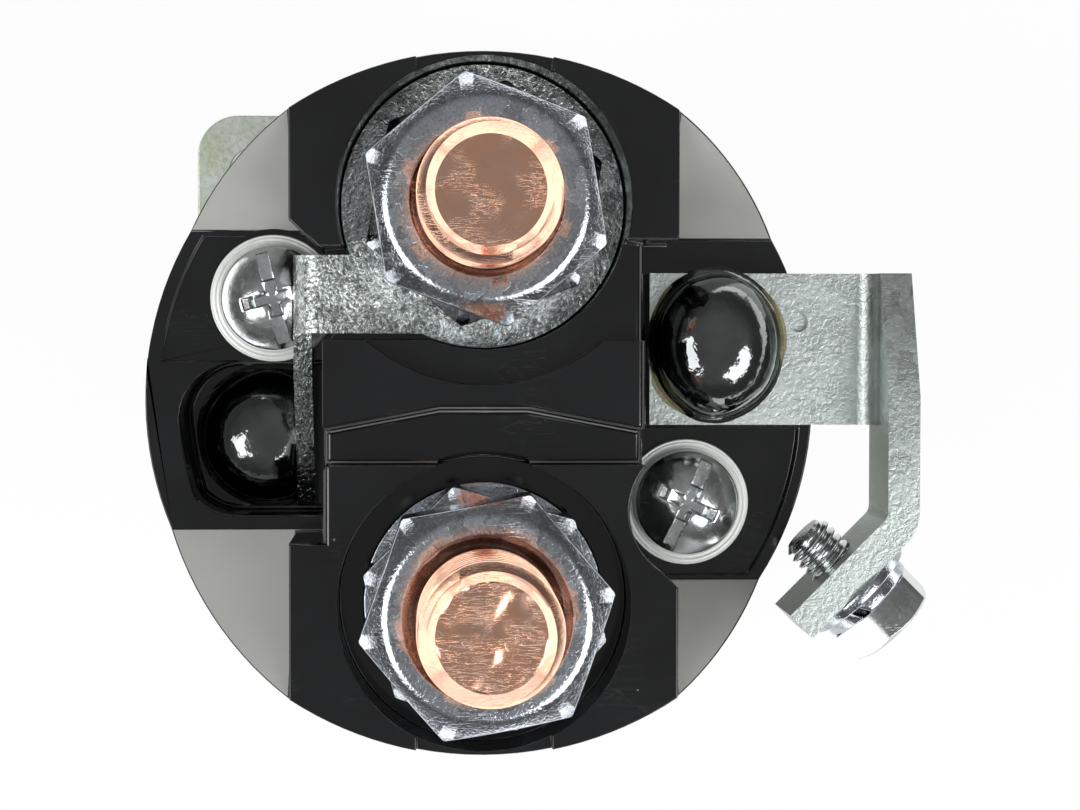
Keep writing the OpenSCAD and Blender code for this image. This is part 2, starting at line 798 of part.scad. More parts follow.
module switch_plain_washer() {
    color(zinc) on_leg() tube(plain_washer_r, switch_r + slip, plain_washer_t, bracket_t);
}

// Half bullet of solder against the motor terminal plate's strip
module motor_solder_joint() {
    zc = z_pocket + motor_joint_h - motor_joint_r;
    r = motor_joint_r;
    color(solder) intersection() {
        translate([motor_joint_at[0], motor_joint_at[1], zc]) {
            sphere(r = r);
            rotate([0, 90, 0]) cylinder(r = r, h = r);
        }
        block([-cap_r, -cap_r, z_pocket], [strip_x, cap_r, z_tower]);
    }
}

module switch_solder_joint() {
    z_plate = z_low + bracket_t;
    r = switch_joint_r;
    s = switch_joint_stretch;
    color(solder) intersection() {
        translate([switch_joint_at[0], switch_joint_at[1], z_plate + switch_joint_h - r]) {
            for (y = [-s, s]) translate([0, y, 0]) sphere(r = r);
            translate([0, s, 0]) rotate([90, 0, 0]) cylinder(r = r, h = 2 * s);
        }
        block([0, -cap_r, z_plate], [cap_r, cap_r, z_tower]);
    }
}

module pull_in_lead() {
    color(copper) bore(lead_r, z_coil_1 + thread_fit, z_pocket, motor_joint_at);
}

module switch_lead() {
    color(copper) bore(lead_r, z_coil_1 + thread_fit, z_low + bracket_t, switch_joint_at);
}

// Plunger

module plunger() {
    color(steel) difference() {
        union() {
            bore(plunger_r, z_clevis, z_plunger_top);
            intersection() {
                bore(clevis_r, z_plunger_end, z_clevis + over / 2);
                block([-pin_half, -clevis_r, z_plunger_end], [pin_half, clevis_r, z_clevis + over]);
            }
        }
        tube(spring_groove_ro, spring_groove_ri, spring_groove_l + over, z_groove);
        block([-slot_w / 2, -clevis_r - over, z_plunger_end - over],
            [slot_w / 2, clevis_r + over, z_plunger_end + slot_l]);
        translate([-clevis_r, 0, z_pin]) rotate([0, 90, 0])
            cylinder(r = lever_pin_r + thread_fit, h = 2 * clevis_r);
    }
}

module lever_pin() {
    color(zinc) translate([-pin_half, 0, z_pin]) rotate([0, 90, 0])
        cylinder(r = lever_pin_r, h = 2 * pin_half);
}

module plunger_return_spring() {
    color(steel) coil(return_spring, z_groove + thread_fit, z_pole - thread_fit);
}

// Moving contact

module contact_rod() {
    color(zinc) bore(rod_r, z_rod_0, z_rod_1);
}

module contact_bridge() {
    color(copper) difference() {
        intersection() {
            bore(bridge_l / 2, z_bridge, z_bridge_top);
            block([-bridge_w / 2, -bridge_l / 2, z_bridge], [bridge_w / 2, bridge_l / 2, z_bridge_top]);
        }
        bore(neck_r + slip / 2, z_bridge - over, z_bridge_top + over);
    }
}

module lower_insulator() {
    color([0.55, 0.18, 0.12]) difference() {
        union() {
            bore(insulator_r, z_bridge - insulator_t, z_bridge);
            bore(neck_r, z_bridge - insulator_t, z_bridge_top);
        }
        bore(rod_r + thread_fit, z_bridge - insulator_t - over, z_bridge_top + over);
    }
}

module upper_insulator() {
    color([0.55, 0.18, 0.12]) tube(insulator_r, rod_r + thread_fit, insulator_t, z_bridge_top);
}

module contact_spring() {
    color(steel) coil(contact_spring_form, z_collar + collar_t + thread_fit,
        z_bridge - insulator_t - thread_fit);
}

module rod_collar() {
    color(zinc) tube(collar_r, rod_r + thread_fit, collar_t, z_collar);
}

module rod_clip() {
    color(steel) tube(clip_r, rod_r + thread_fit, clip_t, z_clip);
}

module contact_return_spring() {
    color(steel) coil(contact_return_form, z_clip + thread_fit,
        z_ceiling + spring_pocket_h - thread_fit);
}

mounting_flange();
housing_can();
plunger_sleeve();
coil_bobbin();
pull_in_winding();
hold_in_winding();
winding_wrap();
stationary_core();
core_plate();
cap_gasket();
terminal_cap();
cap_screws();
cap_screw_washers();
battery_stud();
motor_stud();
stud_seals();
battery_lock_washer();
battery_nuts();
motor_nuts();
motor_terminal_plate();
switch_terminal_bracket();
switch_screw();
switch_spring_washer();
switch_plain_washer();
motor_solder_joint();
switch_solder_joint();
pull_in_lead();
switch_lead();
plunger();
lever_pin();
plunger_return_spring();
contact_rod();
contact_bridge();
lower_insulator();
upper_insulator();
contact_spring();
rod_collar();
rod_clip();
contact_return_spring();
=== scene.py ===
"""Looks of a starter solenoid relay, built round its packed frame.

Threads, nuts, screws, solder, springs and the rounded cap are modelled here.
Every node gets its finish here too.
"""

import math

import bmesh
import bpy
from bpy.props import FloatProperty, FloatVectorProperty, IntProperty, PointerProperty
from mathutils import Matrix, Vector, noise
from mathutils.bvhtree import BVHTree


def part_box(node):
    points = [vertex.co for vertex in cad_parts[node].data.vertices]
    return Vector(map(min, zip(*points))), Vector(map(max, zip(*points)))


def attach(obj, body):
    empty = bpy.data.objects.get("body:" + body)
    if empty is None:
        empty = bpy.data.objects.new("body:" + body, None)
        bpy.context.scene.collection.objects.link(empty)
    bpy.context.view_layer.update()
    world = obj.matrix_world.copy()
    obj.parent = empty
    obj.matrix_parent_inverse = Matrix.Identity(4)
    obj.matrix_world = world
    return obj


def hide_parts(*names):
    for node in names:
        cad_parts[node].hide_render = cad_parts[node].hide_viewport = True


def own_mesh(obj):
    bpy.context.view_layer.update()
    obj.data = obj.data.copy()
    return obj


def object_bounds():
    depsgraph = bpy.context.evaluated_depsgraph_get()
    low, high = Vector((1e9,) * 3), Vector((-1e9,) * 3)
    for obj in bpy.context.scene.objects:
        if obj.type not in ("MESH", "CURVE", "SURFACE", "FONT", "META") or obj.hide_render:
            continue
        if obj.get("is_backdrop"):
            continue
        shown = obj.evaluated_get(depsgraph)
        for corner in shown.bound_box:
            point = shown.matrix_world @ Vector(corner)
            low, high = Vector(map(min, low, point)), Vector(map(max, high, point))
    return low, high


bl_info = {
    "name": "Starter Solenoid Relay",
    "version": (1, 0, 0),
    "blender": (4, 5, 0),
    "location": "View3D > Sidebar > Relay",
    "description": "Dresses the relay's frame with threads, mouldings, solder and finishes",
    "category": "Object",
}

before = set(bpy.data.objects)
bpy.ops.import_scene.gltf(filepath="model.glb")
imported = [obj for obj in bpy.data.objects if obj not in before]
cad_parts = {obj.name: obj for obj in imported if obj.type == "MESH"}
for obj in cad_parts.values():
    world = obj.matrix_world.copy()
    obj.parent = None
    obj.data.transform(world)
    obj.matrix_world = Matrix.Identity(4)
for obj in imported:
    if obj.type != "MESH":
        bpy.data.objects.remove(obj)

MM = 0.001
UP = Vector((0, 0, 1))
PICTURE_WIDTH = 1080  # in pixels
SENSOR_WIDTH = 36  # in millimetres
NUT_CHAMFER = math.tan(math.radians(30))
WELD = 1e-6  # corners nearer than this are one
FLAT = math.radians(0.5)  # faces that meet at less are one


# What the operators share: the finishes and the shader groups they use, by short names
MATERIALS = {}
GROUPS = {}


# ---- Places read from the frame


def middle(name):
    low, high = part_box(name)
    return (low + high) / 2


def half_box(name, side):
    """Box of the points of a node that lie on one side of the axis, to the left (-1) or right (1)."""
    points = [v.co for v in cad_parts[name].data.vertices if v.co.x * side > 0]
    low = Vector([min(p[i] for p in points) for i in range(3)])
    high = Vector([max(p[i] for p in points) for i in range(3)])
    return low, high


# ---- Mesh helpers


def add_object(name, data):
    obj = bpy.data.objects.new(name, data)
    bpy.context.scene.collection.objects.link(obj)
    return obj


def modify(obj, name, kind, **settings):
    """Adds a modifier with its settings."""
    modifier = obj.modifiers.new(name, kind)
    for key, value in settings.items():
        setattr(modifier, key, value)


def bevel(obj, width, **settings):
    modify(obj, "Edges", "BEVEL", width=width, segments=3, **settings)


def new_mesh(name, bm, finish):
    """Turns a bmesh into a smooth mesh of one finish."""
    mesh = bpy.data.meshes.new(name)
    bm.to_mesh(mesh)
    bm.free()
    mesh.polygons.foreach_set("use_smooth", [True] * len(mesh.polygons))
    mesh.materials.clear()
    mesh.materials.append(MATERIALS[finish])
    return mesh


def over(low, high):
    """Moves a piece made about the origin over the middle of a box."""
    return Matrix.Translation(((low.x + high.x) / 2, (low.y + high.y) / 2, 0))


def ring(radius, z, angles):
    """One ring of points. The radius and the height are numbers, or functions of the angle."""
    points = []
    for a in angles:
        r = radius(a) if callable(radius) else radius
        h = z(a, r) if callable(z) else z
        points.append(Vector((r * math.cos(a), r * math.sin(a), h)))
    return points


def skin(bm, rows, ends=True, loop=False):
    """Joins rings of equal count with faces, and closes both ends, or the last ring to the first."""
    rings = [[bm.verts.new(p) for p in row] for row in rows]
    count = len(rings[0])
    pairs = list(zip(rings, rings[1:])) + ([(rings[-1], rings[0])] if loop else [])
    for a, b in pairs:
        for i in range(count):
            j = (i + 1) % count
            bm.faces.new((a[i], a[j], b[j], b[i]))
    if ends and not loop:
        close(bm, rings[0])
        close(bm, rings[-1])
    return rings


def close(bm, verts):
    """Closes a ring with a fan about its middle."""
    centre = bm.verts.new(sum((v.co for v in verts), Vector()) / len(verts))
    for i, v in enumerate(verts):
        bm.faces.new((v, verts[(i + 1) % len(verts)], centre))


def even_angles(count, turn=0.0):
    return [turn + 2 * math.pi * i / count for i in range(count)]


def piece(name, bm, finish, slot, *replaced, body="housing", place=None, sharp=60, even=False):
    """Turns a bmesh into an object that rides on a body and stands for the nodes it replaces."""
    bmesh.ops.remove_doubles(bm, verts=bm.verts, dist=1e-7)
    bmesh.ops.recalc_face_normals(bm, faces=bm.faces)
    if place is not None:
        bm.transform(place)
    mesh = new_mesh(name, bm, finish)
    mesh.set_sharp_from_angle(angle=math.radians(sharp))
    obj = add_object(name, mesh)
    if even:
        modify(obj, "Normals", "WEIGHTED_NORMAL", keep_sharp=True)
    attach(obj, body)
    if replaced:
        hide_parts(*replaced)
    return obj


# One turn of a thread: shares of the pitch, and how deep it is there as a share of the depth
THREAD = (
    (0.0, 0.0),
    (0.1, 0.0),
    (0.17, 0.1),
    (0.42, 0.92),
    (0.5, 1.0),
    (0.58, 1.0),
    (0.66, 0.92),
    (0.92, 0.1),
)


def thread(bm, radius, depth, pitch, z_start, z_tip, tip_r, angles):
    """Adds a right-hand thread that starts at its root radius and runs out in a chamfered tip."""
    steps, form = len(angles), len(THREAD)
    turns = math.ceil((z_tip - z_start) / pitch) + 3
    grid = []
    for row in range(turns * form):
        share, cut = THREAD[row % form]
        base = z_start + (row // form - 1 + share) * pitch
        line = []
        for j, a in enumerate(angles):
            z = base + pitch * j / steps
            r = min(radius - depth * cut, tip_r + max(z_tip - z, 0))
            if z <= z_start:
                z, r = z_start, radius - depth
            z = min(z, z_tip)
            line.append(bm.verts.new((r * math.cos(a), r * math.sin(a), z)))
        grid.append(line)
    for row in range(len(grid) - form - 1):
        a, b = grid[row], grid[row + 1]
        for j in range(steps - 1):
            bm.faces.new((a[j], a[j + 1], b[j + 1], b[j]))
        bm.faces.new((a[-1], grid[row + form][0], grid[row + form + 1][0], b[-1]))


def hexagon(across, corner, turn):
    """Radius of a hexagon with rounded corners, as a function of the angle. One corner is at turn."""
    flat = across / 2
    reach = (flat - corner) / math.cos(math.pi / 6)
    tangent = math.atan((flat - corner) * math.tan(math.pi / 6) / flat)

    def radius(a):
        off = abs((a - turn) % (math.pi / 3) - math.pi / 6)
        if off <= tangent:
            return flat / math.cos(off)
        d = math.pi / 6 - off
        return reach * math.cos(d) + math.sqrt(max(corner**2 - (reach * math.sin(d)) ** 2, 0))

    return radius


# Degrees within one side of a hexagon, closer near its corners
CORNER_STEPS = (0, 0.8, 1.6, 2.6, 4, 7, 12, 18, 24, 30, 36, 42, 48, 53, 56, 57.4, 58.4, 59.2)


def hexagon_angles(turn):
    return [turn + math.radians(60 * side + a) for side in range(6) for a in CORNER_STEPS]


# ---- Shader helpers


class Tree:
    """Short forms for adding and linking shader nodes."""

    def __init__(self, tree):
        self.nodes, self.links = tree.nodes, tree.links

    def add(self, kind, inputs=(), **settings):
        made = self.nodes.new("ShaderNode" + kind)
        for key, value in settings.items():
            setattr(made, key, value)
        for key, value in dict(inputs).items():
            self.put(value, made.inputs[key])
        return made

    def put(self, value, socket):
        if isinstance(value, bpy.types.NodeSocket):
            self.links.new(value, socket)
        else:
            socket.default_value = value

    def math(self, operation, a, b=0.0):
        return self.add("Math", {0: a, 1: b}, operation=operation).outputs[0]

    def vector(self, operation, a, b):
        key = "Scale" if operation == "SCALE" else 1
        made = self.add("VectorMath", {0: a, key: b}, operation=operation).outputs
        return made["Value" if operation == "DOT_PRODUCT" else "Vector"]

    def times(self, a, b):
        return self.math("MULTIPLY", a, b)

    def plus(self, a, b):
        return self.math("ADD", a, b)

    def span(self, value, low, high, to_low=0.0, to_high=1.0):
        """Maps a value from one span to another, and holds it at the ends."""
        return self.add("MapRange", {0: value, 1: low, 2: high, 3: to_low, 4: to_high}).outputs[0]

    def blend(self, share, a, b):
        """Mixes two colours. The sockets of a colour mix are 6 and 7, and its result is 2."""
        return self.add("Mix", {0: share, 6: a, 7: b}, data_type="RGBA").outputs[2]

    def group(self, name, **inputs):
        return self.add("Group", inputs, node_tree=GROUPS[name]).outputs

    def grain(self, size, detail, distortion=0.0):
        return self.group("grain", Size=size, Detail=detail, Distortion=distortion)["Tone"]

    def scuffs(self, size, amount):
        return self.group("scuffs", Size=size, Amount=amount)["Mask"]

    def fill(self, color, rough, normal):
        """Gives the Principled shader its colour, roughness and normal."""
        shader = self.nodes["Principled BSDF"]
        for label, value in (("Base Color", color), ("Roughness", rough), ("Normal", normal)):
            self.put(value, shader.inputs[label])


def new_group(name, inputs, *outputs):
    """An empty shader group with float inputs and outputs."""
    tree = bpy.data.node_groups.new(name, "ShaderNodeTree")
    for label, value in inputs.items():
        socket = tree.interface.new_socket(label, in_out="INPUT", socket_type="NodeSocketFloat")
        socket.default_value = value
    for label in outputs:
        tree.interface.new_socket(label, in_out="OUTPUT", socket_type="NodeSocketFloat")
    t = Tree(tree)
    GROUPS[name.lower()] = tree
    return t, t.nodes.new("NodeGroupInput").outputs, t.nodes.new("NodeGroupOutput").inputs


def place_at_size(t, size):
    """Coordinates on the object, scaled so that one unit is size millimetres."""
    return t.vector("SCALE", t.add("TexCoord").outputs["Object"], t.math("DIVIDE", 1 / MM, size))


def grain_group():
    """Cloudy grain of one size."""
    t, inputs, outputs = new_group("Grain", {"Size": 1.0, "Detail": 3.0, "Distortion": 0.0}, "Tone")
    sockets = {"Vector": place_at_size(t, inputs["Size"]), "Scale": 1.0}
    sockets.update((label, inputs[label]) for label in ("Detail", "Distortion"))
    t.put(t.add("TexNoise", sockets).outputs[0], outputs["Tone"])


def crystal_group():
    """Patches with a tone and a slope of their own, as in a plated sheet."""
    t, inputs, outputs = new_group("Crystals", {"Size": 1.0}, "Tone", "Height")
    place = place_at_size(t, inputs["Size"])
    shift = t.add("TexNoise", {"Vector": place, "Scale": 1.4, "Detail": 3.0}).outputs[1]
    place = t.vector("ADD", place, t.vector("SCALE", shift, 1.1))
    cells = t.add("TexVoronoi", {"Vector": place, "Scale": 1.0}).outputs
    t.put(t.add("SeparateColor", {0: cells["Color"]}).outputs[0], outputs["Tone"])
    off = t.vector("SUBTRACT", place, cells["Position"])
    lean = t.vector("ADD", cells["Color"], (-0.5,) * 3)
    t.put(t.vector("DOT_PRODUCT", off, lean), outputs["Height"])


def scuff_group():
    """Thin stray lines, gathered in patches."""
    t, inputs, outputs = new_group("Scuffs", {"Size": 1.0, "Amount": 0.5}, "Mask")
    place = place_at_size(t, inputs["Size"])
    lines = []
    for turn, stretch in ((0.5, 9.0), (2.1, 7.0)):
        sockets = {"Vector": place, "Rotation": (0, 0, turn), "Scale": (1, stretch, 1)}
        drawn = t.add("Mapping", sockets).outputs[0]
        line = t.add("TexNoise", {"Vector": drawn, "Scale": 0.35, "Detail": 2.0}).outputs[0]
        ridge = t.math("ABSOLUTE", t.math("SUBTRACT", line, 0.5))
        lines.append(t.span(ridge, 0.0, 0.012, 1.0, 0.0))
    patch = t.add("TexNoise", {"Vector": place, "Scale": 0.21, "Detail": 1.0}).outputs[0]
    low = t.math("SUBTRACT", 0.75, t.times(inputs["Amount"], 0.4))
    t.put(t.times(t.math("MAXIMUM", *lines), t.span(patch, low, 0.78)), outputs["Mask"])


def speck_group():
    """Dust and pits: small dots, with only a share of the places taken."""
    t, inputs, outputs = new_group("Specks", {"Size": 1.0, "Share": 0.2, "Dot": 0.2}, "Mask")
    place = place_at_size(t, inputs["Size"])
    cells = t.add("TexVoronoi", {"Vector": place, "Scale": 1.0}).outputs
    pick = t.add("SeparateColor", {0: cells["Color"]}).outputs
    taken = t.math("LESS_THAN", pick[0], inputs["Share"])
    dot = t.math("LESS_THAN", cells["Distance"], t.times(inputs["Dot"], pick[1]))
    t.put(t.times(dot, taken), outputs["Mask"])


def new_material(name, **constants):
    """A material with one Principled shader, whose fixed values are set on its own sockets."""
    made = bpy.data.materials.new(name)
    made.use_nodes = True
    t = Tree(made.node_tree)
    shader = t.nodes["Principled BSDF"]
    for label, value in constants.items():
        shader.inputs[label.replace("_", " ")].default_value = value
    return made, t


def rgba(color, share=1.0):
    return (color[0] * share, color[1] * share, color[2] * share, 1.0)


def bump(t, height, depth, strength=1.0, under=None):
    """A bump from a height between 0 and 1, whose full depth is given in millimetres."""
    inputs = {"Height": height, "Distance": depth * MM, "Strength": strength}
    if under is not None:
        inputs["Normal"] = under
    return t.add("Bump", inputs).outputs[0]


def waves(t, place, pitch):
    """Even waves between 0 and 1, with their pitch in millimetres."""
    return t.span(t.math("SINE", t.times(place, 2 * math.pi / (pitch * MM))), -1.0, 1.0)


def zinc(name, color, grain, grain_depth, crystal, crystal_depth, rough, dark=0.55):
    """Bright zinc plate: fine grain, faint crystals and a few scuffs."""
    made, t = new_material(name, Metallic=1.0)
    fine = t.grain(grain, 4.0, 0.6)
    cloud = t.grain(5.0, 2.0)
    cells = t.group("crystals", Size=crystal)
    scuffs = t.scuffs(1.3, 0.55)
    tone = t.plus(t.times(fine, 0.55), t.times(cells["Tone"], 0.3))
    tone = t.plus(tone, t.times(cloud, 0.3))
    base = t.blend(t.span(tone, 0.36, 0.78), rgba(color, dark), rgba(color))
    base = t.blend(t.times(scuffs, 0.6), base, rgba((0.93, 0.94, 0.95)))
    normal = bump(t, fine, grain_depth, under=bump(t, cells["Height"], crystal_depth))
    t.fill(base, t.span(tone, 0.35, 0.8, *rough), bump(t, scuffs, 0.01, 0.6, under=normal))
    return made


def turned_zinc(name, color, centre):
    """Zinc washers with fine rings about their own centres."""
    made, t = new_material(name, Metallic=0.5)
    at = t.add("SeparateXYZ", {0: t.add("TexCoord").outputs["Object"]}).outputs
    side = t.math("SIGN", at[0])
    dx = t.math("SUBTRACT", t.times(at[0], side), centre.x)
    dy = t.math("SUBTRACT", t.times(at[1], side), centre.y)
    wave = waves(t, t.math("SQRT", t.plus(t.times(dx, dx), t.times(dy, dy))), 0.32)
    fine = t.grain(0.5, 4.0)
    share = t.plus(t.times(wave, 0.35), t.times(fine, 0.65))
    base = t.blend(share, rgba(color, 0.72), rgba(color))
    t.fill(base, t.span(fine, 0.3, 0.7, 0.42, 0.55), bump(t, fine, 0.01, under=bump(t, wave, 0.035)))
    return made


def copper(name, color, worn, rough):
    """Copper with worn bright patches, darker stains, scratches and small dents."""
    made, t = new_material(name, Metallic=1.0)
    cloud = t.grain(2.2, 4.0, 0.5)
    fine = t.grain(0.35, 3.0)
    scuffs = t.scuffs(0.55, 1.0)
    base = t.blend(t.span(cloud, 0.38, 0.62), rgba(worn), rgba(color))
    base = t.blend(t.times(scuffs, 0.22), base, rgba((1.0, 0.80, 0.68)))
    normal = bump(t, fine, 0.008, under=bump(t, cloud, 0.05))
    normal = bump(t, scuffs, 0.005, under=normal)
    t.fill(base, t.span(cloud, 0.3, 0.7, rough[1], rough[0]), normal)
    return made


def phenolic(name, color, painted_reflection):
    """Black phenolic moulding: glossy, with flow, scuffs and dust, and a painted pale reflection on its
    four ramps.
    """
    made, t = new_material(name, IOR=1.55)
    flow = t.grain(6.0, 3.0)
    fine = t.grain(0.5, 3.0)
    dust = t.group("specks", Size=1.6, Share=0.16, Dot=0.075)["Mask"]
    scuffs = t.scuffs(1.6, 0.5)
    base = t.blend(t.span(flow, 0.35, 0.7), rgba(color, 0.8), rgba(color, 1.25))
    base = t.blend(t.times(scuffs, 0.05), base, rgba((0.5, 0.5, 0.5)))
    base = t.blend(t.times(dust, 0.22), base, rgba((0.75, 0.74, 0.7)))
    ramp, lean = ramps(t)
    # Painted reflection: the ramps get a pale grey that stands for the bright horizon mirrored in the
    # black moulding
    base = t.blend(ramp, base, t.blend(flow, rgba(painted_reflection, 0.85), rgba(painted_reflection, 1.1)))
    rough = t.plus(t.span(flow, 0.3, 0.75, 0.07, 0.15), t.times(scuffs, 0.2))
    rough = t.plus(t.plus(rough, t.times(ramp, 0.22)), t.times(dust, 0.4))
    normal = bump(t, fine, 0.0012, under=bump(t, flow, 0.02))
    t.fill(base, rough, bump(t, lean, 1.0, under=normal))
    return made


def ramps(t):
    """Where the cap's four ramps are, and a height in millimetres that leans them outward a little."""
    places = t.add("TexCoord").outputs
    normal = t.add("SeparateXYZ", {0: places["Normal"]}).outputs
    at = t.add("SeparateXYZ", {0: places["Object"]}).outputs
    lean_x = t.times(t.math("ABSOLUTE", at[0]), -400)
    lean_y = t.times(t.math("ABSOLUTE", at[1]), t.span(normal[2], 0.6, 0.76, -600, 0))
    steep = t.span(t.math("ABSOLUTE", normal[1]), 0.55, 0.62)
    ramp = t.times(steep, t.span(normal[2], 0.5, 0.58))
    return ramp, t.times(t.plus(lean_x, lean_y), ramp)


def plain(name, color, metallic, rough, size, depth, spread=0.25, **constants):
    """A quiet finish: one colour with a cloudy grain."""
    made, t = new_material(name, Metallic=metallic, **constants)
    tone = t.grain(size, 4.0)
    base = t.blend(t.span(tone, 0.3, 0.7), rgba(color, 1 - spread), rgba(color))
    t.fill(base, t.span(tone, 0.3, 0.7, *rough), bump(t, tone, depth))
    return made


def brushed(name, color, rough, along):
    """Turned or drawn steel, with fine lines across the given direction."""
    made, t = new_material(name, Metallic=1.0)
    drawn = t.add("Mapping", {"Vector": t.add("TexCoord").outputs["Object"], "Scale": along})
    lines = t.add("TexNoise", {"Vector": drawn.outputs[0], "Scale": 1.0, "Detail": 4.0}).outputs[0]
    share = t.plus(t.times(lines, 0.7), t.times(t.grain(4.0, 2.0), 0.3))
    base = t.blend(t.span(share, 0.3, 0.7), rgba(color, 0.6), rgba(color))
    t.fill(base, t.span(share, 0.3, 0.7, *rough), bump(t, lines, 0.012))
    return made


def yellow_zinc(name, color, tint):
    """Yellow zinc plate: a clouded film between two tints."""
    made, t = new_material(name, Metallic=1.0)
    cloud = t.grain(7.0, 4.0, 0.8)
    fine = t.grain(0.6, 4.0)
    base = t.blend(t.span(cloud, 0.4, 0.6), rgba(color), rgba(tint))
    base = t.blend(t.times(fine, 0.25), base, rgba(color, 0.5))
    base = t.blend(t.times(t.scuffs(2.5, 0.6), 0.5), base, rgba((0.85, 0.86, 0.84)))
    t.fill(base, t.span(fine, 0.3, 0.7, 0.30, 0.45), bump(t, fine, 0.012, under=bump(t, cloud, 0.05)))
    return made


def wound(name, color, wire):
    """Enamelled wire laid turn beside turn along the axis."""
    made, t = new_material(name, Metallic=0.8)
    height = t.add("SeparateXYZ", {0: t.add("TexCoord").outputs["Object"]}).outputs[2]
    wave = waves(t, height, wire)
    rough = t.span(t.grain(3.0, 2.0), 0.3, 0.7, 0.2, 0.4)
    # Painted shade: the colour goes darker towards the grooves between the turns
    t.fill(t.blend(wave, rgba(color, 0.4), rgba(color)), rough, bump(t, wave, wire / 3))
    return made


# ---- Sizes and colours that a user may change


def length(name, description, default):
    return FloatProperty(
        name=name, description=description, default=default * MM, unit="LENGTH", precision=5
    )


def colour(name, description, default):
    return FloatVectorProperty(
        name=name, description=description, default=default, subtype="COLOR", size=3
    )


def number(name, description, default):
    return FloatProperty(name=name, description=description, default=default)


class StudSettings(bpy.types.PropertyGroup):
    """Copper studs"""

    radius: length("Thread radius", "Outer radius of the studs' threads", 5.0)
    pitch: length("Pitch", "Rise of the thread in one turn", 1.25)
    depth: length("Thread depth", "Depth of the thread", 0.72)
    tip_radius: length("Tip radius", "Radius of the flat tip inside its chamfer", 3.75)
    head_height: length("Head height", "Thickness of the head inside the cap", 3.5)
    dent: length("Dents", "Depth of the dents in the tips", 0.11)


class NutSettings(bpy.types.PropertyGroup):
    """Stud nuts"""

    across: length("Across flats", "Width across the flats", 16.0)
    bore: length("Bore radius", "Radius of the bore", 5.05)
    corner: length("Corner rounding", "Rounding of the six edges", 0.35)
    mouth: length("Mouth width", "Width of the countersink at each mouth", 0.5)
    wide_mouth: length("Wide mouth width", "Width of the countersink of the upper battery nut", 0.95)
    face_edge: length("Face edge", "Rounding between the face and the chamfer", 0.28)
    face_share: number("Face share", "Radius of the flat face as a share of half the flats", 0.9)


class ScrewSettings(bpy.types.PropertyGroup):
    """Cap screws and switch screw"""

    head_radius: length("Head radius", "Radius of a cap screw's head", 4.0)
    shank_radius: length("Shank radius", "Radius of the screws' shanks", 2.0)
    slot_reach: length("Slot reach", "Length of the slot from the centre", 3.55)
    slot_depth: length("Slot depth", "Depth of the slot under the top of the head", 1.3)
    arm: length("Recess arm", "Length of a cross recess arm from the centre", 2.35)
    arm_width: length("Recess width", "Width of the slot and the arms", 0.98)
    core: length("Recess core", "Radius of the opening where the arms meet", 0.86)
    recess_depth: length("Recess depth", "Depth of the cross recess", 1.9)
    switch_across: length("Switch screw flats", "Width across the flats of the switch screw", 7.0)
    switch_head: length("Switch screw head", "Height of the switch screw's head", 2.8)
    switch_pitch: length("Switch screw pitch", "Pitch of the switch screw", 0.7)
    switch_out: length("Switch screw end", "Thread that stands out behind the bracket", 3.1)


class SolderSettings(bpy.types.PropertyGroup):
    """Solder joints"""

    ripple: number("Ripple", "Unevenness of the solder, as a share of its radius", 0.02)
    fullness: number("Fullness", "How square the joints' shoulders are", 2.7)
    foot: length("Foot", "Width of the wetted foot round a joint", 0.5)
    flux: length("Flux", "Width of the flux left round the switch joint", 0.9)


class CapSettings(bpy.types.PropertyGroup):
    """Moulded cap"""

    edge: length("Edge rounding", "Rounding of the moulded edges", 0.55)
    thin_edge: length("Thin edge rounding", "Rounding where the wall is thin", 0.1)


class SpringSettings(bpy.types.PropertyGroup):
    """Springs"""

    plunger_wire: length("Plunger spring wire", "Wire radius of the plunger's return spring", 0.65)
    contact_wire: length("Contact spring wire", "Wire radius of the contact spring", 0.45)
    rod_wire: length("Rod spring wire", "Wire radius of the rod's return spring", 0.4)
    sides: IntProperty(name="Sides", description="Sides of the wire", default=10, min=6)
    steps: IntProperty(name="Steps", description="Steps in one turn", default=28, min=8)


class FinishSettings(bpy.types.PropertyGroup):
    """Colours of the finishes"""

    nut_zinc: colour("Nut zinc", "Bluish zinc of the nuts", (0.66, 0.70, 0.76))
    plate_zinc: colour("Plate zinc", "Zinc of the motor terminal plate", (0.56, 0.60, 0.58))
    bracket_zinc: colour("Bracket zinc", "Zinc of the switch bracket", (0.52, 0.57, 0.55))
    bright_zinc: colour("Screw zinc", "Bright zinc of the screws", (0.70, 0.73, 0.73))
    washer_zinc: colour("Washer zinc", "Pale zinc of the washers", (0.93, 0.95, 0.92))
    copper: colour("Copper", "Clean copper", (0.94, 0.52, 0.35))
    worn_copper: colour("Worn copper", "Stained copper", (0.74, 0.45, 0.34))
    phenolic: colour("Phenolic", "Black phenolic of the cap", (0.0055, 0.006, 0.0068))
    # Painted reflection: a pale grey for the ramps, standing for the bright horizon that the black
    # moulding mirrors there
    ramp_painted_reflection: colour("Ramp grey", "Painted pale reflection on the face of the cap's ramps", (0.37, 0.37, 0.355))
    solder: colour("Solder", "Solder", (0.2, 0.21, 0.21))
    flux: colour("Flux", "Dried flux", (0.42, 0.36, 0.16))
    flange_green: colour("Flange film", "Greenish film on the flange", (0.60, 0.66, 0.50))
    flange_grey: colour("Flange zinc", "Zinc of the flange and can", (0.70, 0.74, 0.70))


class StageSettings(bpy.types.PropertyGroup):
    """Camera, lamps and floor"""

    height: length("Camera height", "Height of the camera over the flange's front", 248.0)
    offset_x: length("Camera offset X", "Offset of the camera from the axis", -4.72)
    offset_y: length("Camera offset Y", "Offset of the camera from the axis", 5.47)
    focal: number("Focal length", "In millimetres, on a 36 mm sensor", 81.6)
    ambient: number("Ambient", "Strength of the even light", 0.42)
    halfway: number("Halfway up", "Brightness that metal mirrors halfway up", 0.13)
    zenith: number("Zenith", "Brightness added straight overhead", 0.17)


